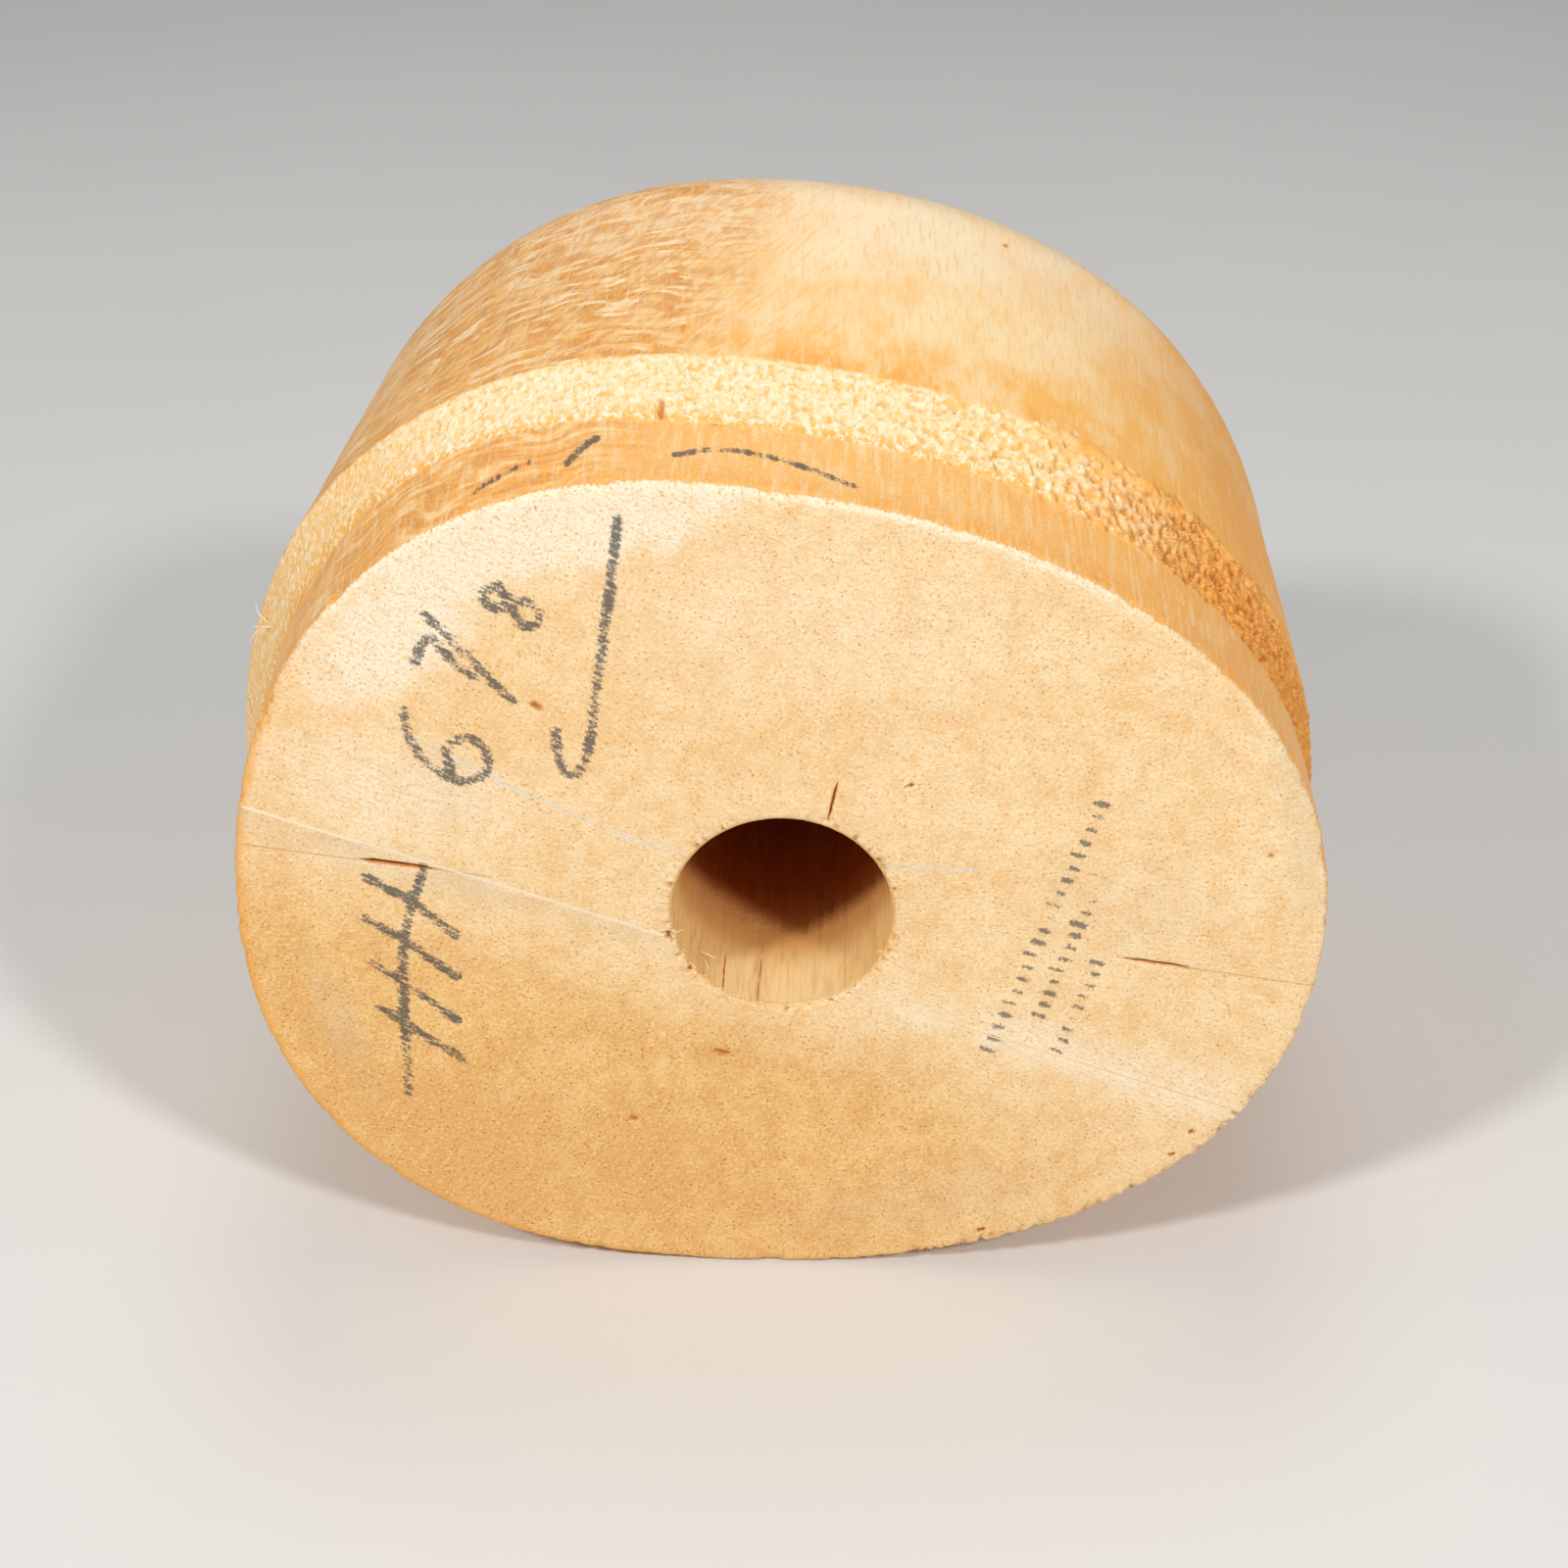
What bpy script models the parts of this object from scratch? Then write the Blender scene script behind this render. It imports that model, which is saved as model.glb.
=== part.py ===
"""A wooden hat block, lying on its side as it is put down on a bench.

The block is two billets glued along one slanting joint and then shaped as one. Its flat
base faces -Y and has a blind bore for the stand's post. From the base come a low collar,
a flaring band and the crown, which rounds over to a slightly domed tip.
Lengths are in metres. The block's own frame has Y running in from the base along the bore,
X along the head's length and Z across it, with its origin at the middle of the bore's mouth.
"""

from collections import namedtuple
from math import atan2, copysign, cos, pi, radians, sin, tau

import bmesh
import bpy
from mathutils import Matrix, Vector

# Ovals across the block, each given as its reach from the bore's axis to the front, back, top
# and bottom, then where it is widest along the head and how high its two tips lie
BASE_OVAL = (0.0930, 0.0935, 0.0785, 0.0775, -0.017, -0.001)
COLLAR_OVAL = (0.0925, 0.0930, 0.0805, 0.0780, -0.025, 0.000)
CROWN_EDGE_OVAL = (0.0930, 0.0980, 0.0860, 0.0785, -0.013, 0.008)
CROWN_TOP_OVAL = (0.0955, 0.0945, 0.0925, 0.0800, -0.006, -0.003)

# How far each oval is rolled about the bore, and how much squarer than an ellipse they are
BASE_ROLL = radians(-6.0)
COLLAR_ROLL = radians(-2.5)
CROWN_EDGE_ROLL = radians(-6.5)
CROWN_TOP_ROLL = radians(-2.5)
FULLNESS = 2.2

# Heights of the collar, the flaring band and the straight part of the crown, then the
# shoulder that rounds it over and the rise of the tip
COLLAR_HEIGHT = 0.022
BAND_HEIGHT = 0.013
CROWN_HEIGHT = 0.070
SHOULDER_RADIUS = 0.042
SHOULDER_TURN = radians(83.0)
TIP_RISE = 0.003
RIM_ROUND = 0.0012

# The blind bore for the stand's post, with the mark of the drill's centre point in its floor
BORE_DIAMETER = 0.038
BORE_DEPTH = 0.075
BORE_CHAMFER = 0.0006
PIP_DIAMETER = 0.006
PIP_DEPTH = 0.003

# The glued joint: how far it passes below the bore's axis, its slope and the glue's thickness
JOINT_DROP = 0.011
JOINT_SLOPE = radians(-19.6)
GLUE_GAP = 0.0003

# Facets around the block and the bore, and rows along each curved run
AROUND = 96
BORE_SIDES = 64
RIM_ROWS = 3
CROWN_ROWS = 4
SHOULDER_ROWS = 9
TIP_ROWS = 5
SMOOTH_ANGLE = radians(20.0)

# Cutters reach this far past what they cut
CUTTER_MARGIN = 0.02

UPPER_WOOD = (0.82, 0.60, 0.36)
LOWER_WOOD = (0.80, 0.53, 0.27)
WOOD_ROUGHNESS = 0.72

Oval = namedtuple("Oval", "front back top bottom widest tips roll")
BASE = Oval(*BASE_OVAL, BASE_ROLL)
COLLAR = Oval(*COLLAR_OVAL, COLLAR_ROLL)
CROWN_EDGE = Oval(*CROWN_EDGE_OVAL, CROWN_EDGE_ROLL)
CROWN_TOP = Oval(*CROWN_TOP_OVAL, CROWN_TOP_ROLL)


def clear_scene():
    for old in list(bpy.data.objects):
        bpy.data.objects.remove(old, do_unlink=True)


def wood(name, colour):
    """A plain matt wood of one colour."""
    material = bpy.data.materials.new(name)
    material.use_nodes = True
    shader = material.node_tree.nodes["Principled BSDF"]
    shader.inputs["Base Color"].default_value = (*colour, 1.0)
    shader.inputs["Roughness"].default_value = WOOD_ROUGHNESS
    shader.inputs["Metallic"].default_value = 0.0
    material.diffuse_color = (*colour, 1.0)
    return material


def softened(value):
    """The sine or cosine of a full oval, which is a little squarer than an ellipse."""
    return copysign(abs(value) ** (2.0 / FULLNESS), value)


def oval_point(oval, turn):
    """The point of an oval at a turn around it, as X and Z in the block's frame."""
    across = softened(cos(turn))
    up = softened(sin(turn))
    length = oval.front - oval.widest if across > 0 else oval.back + oval.widest
    height = oval.top - oval.tips if up > 0 else oval.bottom + oval.tips
    flat = Vector((oval.widest + across * length, oval.tips + up * height))
    flat.rotate(Matrix.Rotation(oval.roll, 2))
    return flat


def outline(oval, depth, inset=0.0, share=1.0):
    """A closed ring of points at one depth, drawn in from its oval by a width or a share."""
    points = []
    for step in range(AROUND):
        flat = oval_point(oval, tau * step / AROUND)
        flat *= share * (1.0 - inset / flat.length)
        points.append(Vector((flat.x, depth, flat.y)))
    return points


def between(lower, upper, share):
    """The oval part of the way from one oval to the next."""
    return Oval(*(a + (b - a) * share for a, b in zip(lower, upper)))


def block_rings():
    """The rings that the block's skin runs over, from the base to the tip."""
    rings = []
    for row in range(RIM_ROWS + 1):
        turn = 0.5 * pi * row / RIM_ROWS
        inset = RIM_ROUND * (1.0 - sin(turn))
        depth = RIM_ROUND * (1.0 - cos(turn))
        rings.append(outline(between(BASE, COLLAR, depth / COLLAR_HEIGHT), depth, inset))
    rings.append(outline(COLLAR, COLLAR_HEIGHT))
    for row in range(CROWN_ROWS + 1):
        share = row / CROWN_ROWS
        depth = COLLAR_HEIGHT + BAND_HEIGHT + CROWN_HEIGHT * share
        rings.append(outline(between(CROWN_EDGE, CROWN_TOP, share), depth))
    straight_end = COLLAR_HEIGHT + BAND_HEIGHT + CROWN_HEIGHT
    for row in range(1, SHOULDER_ROWS + 1):
        turn = SHOULDER_TURN * row / SHOULDER_ROWS
        inset = SHOULDER_RADIUS * (1.0 - cos(turn))
        rings.append(outline(CROWN_TOP, straight_end + SHOULDER_RADIUS * sin(turn), inset))
    inset = SHOULDER_RADIUS * (1.0 - cos(SHOULDER_TURN))
    shoulder_end = straight_end + SHOULDER_RADIUS * sin(SHOULDER_TURN)
    for row in range(1, TIP_ROWS):
        share = 1.0 - row / TIP_ROWS
        depth = shoulder_end + TIP_RISE * (1.0 - share ** 2)
        rings.append(outline(CROWN_TOP, depth, inset, share))
    tip = Vector((0.0, shoulder_end + TIP_RISE, 0.0))
    return rings, tip


def loft(name, rings, tip):
    """Skin the rings into a closed solid with a flat base and a pole at the tip."""
    bm = bmesh.new()
    loops = []
    for ring in rings:
        circle = bmesh.ops.create_circle(bm, segments=len(ring), radius=1.0)["verts"]
        for vert, point in zip(circle, ring):
            vert.co = point
        loops.append([bm.edges.get(pair) for pair in zip(circle, circle[1:] + circle[:1])])
    for lower, upper in zip(loops, loops[1:]):
        bmesh.ops.bridge_loops(bm, edges=lower + upper)
    bmesh.ops.edgeloop_fill(bm, edges=loops[0])
    cap = bmesh.ops.edgeloop_fill(bm, edges=loops[-1])["faces"]
    pole = bmesh.ops.poke(bm, faces=cap)["verts"][0]
    pole.co = tip
    bmesh.ops.recalc_face_normals(bm, faces=bm.faces)
    return finished(name, bm)


def finished(name, bm):
    """Turn a bmesh into mesh data, smooth but for its real edges."""
    mesh = bpy.data.meshes.new(name)
    bm.to_mesh(mesh)
    bm.free()
    mesh.shade_smooth()
    mesh.set_sharp_from_angle(angle=SMOOTH_ANGLE)
    return mesh


def add_object(name, mesh, parent):
    thing = bpy.data.objects.new(name, mesh)
    bpy.context.collection.objects.link(thing)
    thing.parent = parent
    return thing


def cutter(name, mesh, parent):
    guide = add_object(name, mesh, parent)
    guide.hide_render = True
    guide.display_type = "WIRE"
    return guide


def bore_cutter(parent):
    """The bore's outline spun about its axis: chamfer, wall, flat floor and centre mark."""
    radius = 0.5 * BORE_DIAMETER
    mouth = radius + BORE_CHAMFER + CUTTER_MARGIN
    profile = [
        (0.0, -CUTTER_MARGIN),
        (mouth, -CUTTER_MARGIN),
        (radius, BORE_CHAMFER),
        (radius, BORE_DEPTH),
        (0.5 * PIP_DIAMETER, BORE_DEPTH),
        (0.0, BORE_DEPTH + PIP_DEPTH),
    ]
    bm = bmesh.new()
    verts = [bm.verts.new((across, depth, 0.0)) for across, depth in profile]
    edges = [bm.edges.new(pair) for pair in zip(verts, verts[1:])]
    bmesh.ops.spin(
        bm,
        geom=verts + edges,
        cent=(0.0, 0.0, 0.0),
        axis=(0.0, 1.0, 0.0),
        angle=tau,
        steps=BORE_SIDES,
        use_merge=True,
    )
    bmesh.ops.remove_doubles(bm, verts=bm.verts, dist=1e-6)
    bmesh.ops.recalc_face_normals(bm, faces=bm.faces)
    return cutter("bore_cutter", finished("bore_cutter", bm), parent)


def joint_cutter(name, side, reach, parent):
    """A slab on one side of the glued joint: side is 1 above it and -1 below it."""
    bm = bmesh.new()
    bmesh.ops.create_cube(bm, size=2.0 * reach)
    offset = -JOINT_DROP + side * (reach - 0.5 * GLUE_GAP)
    bmesh.ops.translate(bm, verts=bm.verts, vec=(0.0, 0.0, offset))
    bmesh.ops.rotate(bm, verts=bm.verts, matrix=Matrix.Rotation(-JOINT_SLOPE, 3, "Y"))
    return cutter(name, finished(name, bm), parent)


def cut(thing, tool):
    modifier = thing.modifiers.new(tool.name, "BOOLEAN")
    modifier.operation = "DIFFERENCE"
    modifier.solver = "EXACT"
    modifier.object = tool


def resting_place(rings, tip):
    """The empty that lays the block on its side, its lowest line along the floor."""
    edge_low = min(point.z for point in outline(CROWN_EDGE, 0.0))
    top_low = min(point.z for point in outline(CROWN_TOP, 0.0))
    turned = Matrix.Rotation(atan2(edge_low - top_low, CROWN_HEIGHT), 4, "X")
    points = [turned @ point for ring in rings for point in ring]
    points.append(turned @ tip)
    low = [min(point[axis] for point in points) for axis in range(3)]
    high = [max(point[axis] for point in points) for axis in range(3)]
    middle = Vector((0.5 * (low[0] + high[0]), 0.5 * (low[1] + high[1]), low[2]))
    place = bpy.data.objects.new("resting_place", None)
    bpy.context.collection.objects.link(place)
    place.matrix_world = Matrix.Translation(-middle) @ turned
    return place


def main():
    clear_scene()
    rings, tip = block_rings()
    place = resting_place(rings, tip)
    body = loft("block_body", rings, tip)
    reach = tip.y + max(point.length for ring in rings for point in ring)
    bore = bore_cutter(place)
    below = joint_cutter("joint_cutter_below", -1, reach, place)
    above = joint_cutter("joint_cutter_above", 1, reach, place)

    upper = add_object("upper_billet", body, place)
    cut(upper, below)
    cut(upper, bore)
    upper.data.materials.append(wood("upper_billet_wood", UPPER_WOOD))

    lower = add_object("lower_billet", body.copy(), place)
    cut(lower, above)
    cut(lower, bore)
    lower.data.materials.clear()
    lower.data.materials.append(wood("lower_billet_wood", LOWER_WOOD))


main()
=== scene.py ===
"""Models and finishes a wooden hat block that lies on its side.

The block is two billets of pale hardwood, glued along one slanting joint and shaped as one:
a flat base of end grain with a bore for the stand's post, a low collar, a flaring band that
the tool left torn, and a smooth crown. Its skin is lofted over four ovals, weathered point by
point, and then cut along the joint. Lengths are in metres unless a comment says millimetres.
The block's own frame has Y running in from the base, X along the head and Z across it.
"""

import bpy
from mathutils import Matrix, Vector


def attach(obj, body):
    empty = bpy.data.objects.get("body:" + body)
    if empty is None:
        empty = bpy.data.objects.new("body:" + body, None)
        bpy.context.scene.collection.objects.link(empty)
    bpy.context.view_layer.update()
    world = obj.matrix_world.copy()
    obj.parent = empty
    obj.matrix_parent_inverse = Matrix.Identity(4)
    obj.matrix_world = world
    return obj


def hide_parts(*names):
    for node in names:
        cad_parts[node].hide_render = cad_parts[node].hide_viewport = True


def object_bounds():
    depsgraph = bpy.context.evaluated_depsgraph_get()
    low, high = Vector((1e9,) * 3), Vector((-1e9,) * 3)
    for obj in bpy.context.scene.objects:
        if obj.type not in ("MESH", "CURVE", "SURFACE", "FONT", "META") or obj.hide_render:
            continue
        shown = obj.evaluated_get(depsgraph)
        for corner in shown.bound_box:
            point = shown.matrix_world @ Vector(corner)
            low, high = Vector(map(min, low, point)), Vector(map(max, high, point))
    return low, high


bl_info = {
    "name": "Wooden Hat Block",
    "version": (1, 0, 0),
    "blender": (4, 5, 0),
    "location": "3D View > Sidebar > Hat Block",
    "description": "Models a weathered wooden hat block around its construction model",
    "category": "Add Mesh",
}

from collections import namedtuple
from math import atan2, copysign, cos, degrees, exp, hypot, pi, radians, sin, tau
from random import Random
from types import SimpleNamespace

import bmesh
import bpy
from bpy.props import FloatProperty, FloatVectorProperty, PointerProperty
from mathutils import Matrix, Vector, noise
from mathutils.kdtree import KDTree

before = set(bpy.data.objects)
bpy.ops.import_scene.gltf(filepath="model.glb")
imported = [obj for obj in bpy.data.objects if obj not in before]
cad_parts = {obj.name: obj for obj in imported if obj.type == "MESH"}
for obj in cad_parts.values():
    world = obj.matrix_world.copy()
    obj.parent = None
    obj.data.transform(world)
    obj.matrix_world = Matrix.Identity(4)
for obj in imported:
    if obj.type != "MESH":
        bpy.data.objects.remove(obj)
CAD_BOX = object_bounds()

SKIN_NAME = "hat_block_skin"
MM = 0.001

# Ovals across the block: reach from the bore's axis to the front, back, top and bottom, where
# it is widest along the head, how high its two tips lie, and its roll about the bore
Oval = namedtuple("Oval", "front back top bottom widest tips roll")
BASE = Oval(0.0930, 0.0935, 0.0785, 0.0775, -0.017, -0.001, radians(-6.0))
COLLAR = Oval(0.0925, 0.0930, 0.0805, 0.0780, -0.025, 0.000, radians(-2.5))
CROWN_EDGE = Oval(0.0930, 0.0980, 0.0860, 0.0785, -0.013, 0.008, radians(-6.5))
CROWN_TOP = Oval(0.0955, 0.0945, 0.0925, 0.0800, -0.006, -0.003, radians(-2.5))
FULLNESS = 2.2

COLLAR_HEIGHT = 0.022
BAND_HEIGHT = 0.013
CROWN_HEIGHT = 0.070
SHOULDER_RADIUS = 0.042
SHOULDER_TURN = radians(83.0)
TIP_RISE = 0.003
RIM_ROUND = 0.0012
RIM_INSET = 0.4 * RIM_ROUND
BORE_DIAMETER = 0.038
BORE_DEPTH = 0.075
BORE_CHAMFER = 0.0006
PIP_DIAMETER = 0.006
PIP_DEPTH = 0.003
JOINT_DROP = 0.011
JOINT_SLOPE = radians(-19.6)
CUT_TOLERANCE = 1e-7

# The film of glue: its gap, its clearance on each side, how far it stands proud on the left and
# right of the base, how deep and long its ripples are there, how deep that proud edge reaches,
# and the share by which the rest has shrunk
GLUE_GAP = 0.0003
GLUE_CLEARANCE = 0.00002
GLUE_PROUD = (0.00016, 0.00002)
GLUE_RIPPLE = 0.00008
GLUE_RIPPLE_LENGTH = 0.0025
GLUE_EDGE = 0.002
GLUE_SHRINKAGE = 0.003

# The two billets: the side of the joint that each is on, and how far its rays are turned
Billet = namedtuple("Billet", "name side ray_turn")
BILLETS = (Billet("upper_billet", 1, radians(32.0)), Billet("lower_billet", -1, radians(12.0)))

# How finely each part of the skin is divided: points around it, and the length of its rows
BORE_AROUND = 360
FACE_AROUND = 720
TORN_AROUND = 1200
CROWN_AROUND = 480
CROWDING = 0.42
FACE_ROWS = 44
RIM_ROWS = 4
COLLAR_ROW = 0.0015
TORN_ROW = 0.00033
RAGGED_HEIGHT = 0.0055
CROWN_ROW = 0.003
SHOULDER_ROWS = 18
TIP_ROWS = 9
BORE_ROW = 0.003
BORE_FLOOR_ROWS = 5

# Points around the ovals that only give the block its place
PLACING_AROUND = 96

# What the material reads at each point of the skin
LAYERS = ("torn", "pit", "pale", "amber", "grime", "rim", "check", "hollow", "crayon", "ink")

# How deep the flat of the base, its stains, its rounded rim and the collar's plain side reach,
# how far in from the rim it is worn, how near the bore's wall a point counts as on it, and the
# farthest that marks and checks are noticed, all in millimetres
FACE_DEPTH = 0.02
STAIN_DEPTH = 1.0
RIM_DEPTH = 1.2
COLLAR_DEPTH = 21.6
RIM_WORN = 2.0
BORE_MARGIN = 0.1
MARK_FAR = 4.0
CHECK_FAR = 2.0

# How far the worn rim gives way along the bore for each step towards its axis
RIM_SLANT = Vector((0.0, 0.8, 0.0))

# How deep the torn grain of the band starts and ends, in millimetres, before its raggedness
TORN_START = 22.1
TORN_END = 34.8

# Splits, chips and specks, in millimetres in the block's frame: where each starts and ends,
# how wide and deep it is, and how dark inside
Check = namedtuple("Check", "start end width depth tone")
CHECKS = (
    Check((-71.4, 0.0, 10.2), (-59.3, 0.0, 8.6), 0.55, 1.6, 1.0),
    Check((58.8, 0.0, -8.1), (69.8, 0.0, -9.8), 0.45, 1.2, 0.75),
    Check((9.2, 0.0, 26.4), (7.7, 0.0, 18.9), 0.32, 0.8, 0.7),
    Check((-19.6, 0.0, -4.4), (-18.6, 0.8, -4.8), 1.10, 1.2, 0.35),
    Check((-15.8, 0.0, -11.2), (-15.2, 0.6, -11.0), 0.60, 0.7, 0.6),
    Check((12.2, 0.0, -14.6), (12.0, 0.6, -14.2), 0.60, 0.7, 0.6),
    Check((-10.3, 0.2, -16.1), (-10.3, 13.5, -16.1), 0.28, 0.9, 0.8),
    Check((-4.3, 0.5, -18.6), (-4.0, 14.5, -18.6), 0.22, 0.6, 0.6),
    Check((-40.4, 0.0, 40.4), (-40.1, 0.0, 40.4), 1.05, 0.2, 0.8),
    Check((-12.6, 0.0, -28.6), (-9.4, 0.0, -29.2), 0.70, 0.2, 0.8),
    Check((-28.2, 0.0, -43.8), (-24.9, 0.0, -43.7), 0.45, 0.3, 0.75),
    Check((20.7, 0.0, 25.9), (21.8, 0.0, 26.1), 0.40, 0.3, 0.9),
    Check((58.0, 0.0, 24.8), (58.4, 0.0, 24.4), 0.45, 0.2, 0.6),
    Check((82.1, 0.0, 13.1), (82.5, 0.0, 12.9), 0.50, 0.3, 0.7),
    Check((72.6, 0.0, -45.3), (73.3, 0.0, -45.1), 0.45, 0.4, 0.9),
    Check((69.6, 0.0, -50.4), (70.2, 0.0, -50.2), 0.50, 0.4, 0.9),
    Check((36.0, 0.0, -68.4), (36.7, 0.0, -68.2), 0.60, 0.4, 1.0),
    Check((46.5, 0.0, -44.1), (47.0, 0.0, -44.1), 0.35, 0.2, 0.7),
    Check((-20.2, 26.8, 84.3), (-20.1, 22.2, 81.8), 0.85, 0.8, 0.6),
    Check((-12.4, 21.8, 81.2), (-9.3, 21.9, 81.2), 0.55, 0.5, 0.8),
    Check((37.8, 100.0, 84.6), (40.0, 100.6, 83.6), 0.45, 0.2, 0.7),
    Check((16.6, 19.6, 77.2), (17.0, 20.4, 77.4), 0.40, 0.3, 0.6),
)

# Checks shorter than this, in millimetres, keep their full width to their ends
SHORT_CHECK = 2.0

# How near to a check or a mark the skin is divided further
CHECK_REACH = 0.0022
MARK_REACH = 0.0013

# How closely points are set along a check or a mark, in millimetres
STROKE_STEP = 0.2

# Soft stains on the base, in millimetres: centre, half widths, turn in degrees, strength and
# the layer that each adds to. None shows farther out than twice its half widths
STAIN_FAR = 2.0
Stain = namedtuple("Stain", "centre reach turn strength layer")
STAINS = (
    Stain((-36.0, 73.0), (29.0, 8.0), 14.0, 1.7, "pale"),
    Stain((-62.0, 54.0), (16.0, 8.0), 42.0, 1.5, "pale"),
    Stain((5.0, 55.0), (38.0, 14.0), -4.0, 0.25, "pale"),
    Stain((-66.0, 24.0), (22.0, 9.0), -14.0, 0.5, "pale"),
    Stain((60.0, -30.0), (28.0, 5.0), -20.0, 0.35, "pale"),
    Stain((40.0, -24.0), (30.0, 3.0), -20.0, 0.3, "pale"),
    Stain((-86.0, 4.0), (4.0, 30.0), 4.0, 0.5, "amber"),
    Stain((-66.0, -46.0), (11.0, 32.0), 38.0, 0.75, "amber"),
    Stain((-35.0, -55.0), (36.0, 16.0), -14.0, 0.7, "amber"),
    Stain((10.0, -35.0), (28.0, 10.0), 6.0, 0.35, "amber"),
    Stain((-5.0, 36.0), (24.0, 12.0), -30.0, 0.3, "amber"),
    Stain((-11.5, -28.8), (8.0, 2.2), -8.0, 0.7, "amber"),
    Stain((-52.0, -30.0), (7.0, 4.0), 20.0, 0.6, "amber"),
    Stain((-78.0, -22.0), (4.0, 14.0), 12.0, 0.5, "grime"),
    Stain((-38.0, 42.0), (22.0, 20.0), 0.0, 0.45, "amber"),
    Stain((-63.0, 8.0), (26.0, 4.0), -18.0, 0.4, "grime"),
    Stain((86.0, 22.0), (3.5, 22.0), 12.0, 0.6, "grime"),
    Stain((58.0, 2.0), (18.0, 9.0), -10.0, 0.25, "grime"),
    Stain((24.0, -62.0), (24.0, 7.0), 12.0, 0.35, "grime"),
    Stain((-57.0, 25.0), (8.0, 8.0), 0.0, 0.3, "grime"),
)

# Crayon strokes on the base, in millimetres: a plain size, a long tick and a tally
SIX = ((0.55, 0.98), (0.26, 0.80), (0.08, 0.48), (0.06, 0.20), (0.26, 0.00), (0.50, 0.10),
       (0.54, 0.32), (0.34, 0.44), (0.12, 0.30))
SEVEN = ((0.02, 0.92), (0.30, 0.97), (0.58, 0.92), (0.40, 0.48), (0.30, 0.00))
EIGHT = ((0.52, 0.82), (0.30, 0.99), (0.10, 0.82), (0.24, 0.58), (0.48, 0.34), (0.42, 0.06),
         (0.18, 0.02), (0.08, 0.24), (0.30, 0.52), (0.52, 0.82))
SLASH = ((0.0, -0.1), (0.5, 1.15))
Glyph = namedtuple("Glyph", "shape corner height turn")
FIGURES = (
    Glyph(SIX, (-51.5, 23.5), 17.0, 62.0),
    Glyph(SEVEN, (-52.0, 43.5), 9.5, 60.0),
    Glyph(SLASH, (-45.5, 42.0), 15.0, 62.0),
    Glyph(EIGHT, (-40.5, 53.5), 10.0, 60.0),
)
LONG_TICK = ((-25.8, 74.0), (-27.4, 62.0), (-29.6, 47.5), (-32.2, 31.6), (-34.8, 27.2),
             (-36.9, 30.0), (-37.2, 35.6))
TALLY = (
    ((-71.0, 7.0), (-63.0, 1.5), (-56.0, -5.0)),
    ((-71.5, -1.5), (-64.0, -7.0), (-56.5, -13.5)),
    ((-71.5, -10.5), (-64.0, -16.5), (-57.0, -22.5)),
    ((-70.5, -20.0), (-63.0, -26.0), (-56.0, -31.5)),
    ((-60.5, 9.5), (-65.5, -9.0), (-66.5, -38.5)),
)

# Ticks on the collar: the points of each, as degrees around and depth in millimetres
COLLAR_TICKS = (
    ((117.0, 6.0), (113.0, 8.5), (108.5, 10.5)),
    ((104.5, 7.5), (101.5, 12.0), (98.5, 15.5)),
    ((91.5, 9.5), (88.0, 12.5), (84.0, 11.5), (79.5, 6.5)),
)

# Straight lines ruled across the base, in millimetres: chalked, and scribed with a point
CHALK_LINES = (
    ((-63.4, 35.5), (-46.1, 25.4)),
    ((-46.1, 25.4), (-26.0, 15.2)),
    ((-26.0, 15.2), (-16.6, 12.4)),
    ((17.7, 9.9), (33.4, 9.6)),
)
SCRIBED_LINES = (
    ((-90.5, 13.0), (-71.4, 10.2)),
    ((-59.3, 8.6), (-50.0, 7.2)),
    ((69.8, -9.8), (92.0, -13.3)),
)

# Rows of plain rule marks, in millimetres: start, end and how many marks. Each fourth is long
RULE_ROWS = (
    ((37.0, -28.0), (55.0, 25.0), 21),
    ((45.5, -20.5), (55.5, 10.5), 13),
    ((49.0, -28.0), (56.0, -7.0), 9),
)
RULE_HEIGHT = 2.3
SHORT_RULE = 0.62
LONG_RULE_EVERY = 4

# Loose fibres, in millimetres: the points that each runs through and its thickness at the root
Fibre = namedtuple("Fibre", "points width")
FIBRES = (
    Fibre(((-89.0, 29.5, 39.5), (-91.8, 29.6, 38.2), (-93.4, 29.2, 36.0)), 0.34),
    Fibre(((-89.6, 30.5, 39.2), (-91.6, 31.2, 41.0), (-91.9, 31.4, 42.8)), 0.28),
    Fibre(((-89.3, 28.6, 39.6), (-92.2, 28.4, 39.8)), 0.24),
    Fibre(((-14.9, 6.8, -12.2), (-13.2, 5.6, -11.9), (-11.8, 5.2, -12.6)), 0.32),
    Fibre(((-14.6, 6.4, -12.6), (-13.4, 4.2, -12.8), (-12.9, 3.2, -13.6)), 0.30),
    Fibre(((-19.2, 0.6, -3.4), (-18.0, -0.2, -3.6), (-16.9, 0.3, -3.1)), 0.30),
    Fibre(((-19.2, 1.0, -4.6), (-18.3, 0.2, -5.2)), 0.24),
    Fibre(((11.6, 0.6, -15.4), (12.6, -0.4, -14.8), (13.8, -0.3, -15.0)), 0.26),
    Fibre(((-2.2, 0.15, 71.4), (-0.2, -0.25, 70.7), (2.9, 0.1, 68.7)), 0.24),
    Fibre(((23.0, 0.1, 29.0), (26.4, -0.22, 29.7), (30.3, 0.1, 29.3)), 0.30),
    Fibre(((51.9, 0.6, 64.4), (51.6, -0.2, 66.2)), 0.26),
    Fibre(((53.3, 0.8, 63.4), (53.2, 0.2, 65.6)), 0.24),
)
FUZZ_COUNT = 420
LIP_COUNT = 80
FIBRE_SEED = 11
FIBRE_STEP = 0.0006
FIBRE_TAPER = 0.75
FIBRE_SIDES = 4

# How far round the skin is from the bore's axis, for what is drawn around the block
MEAN_RADIUS = 88.0

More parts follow.
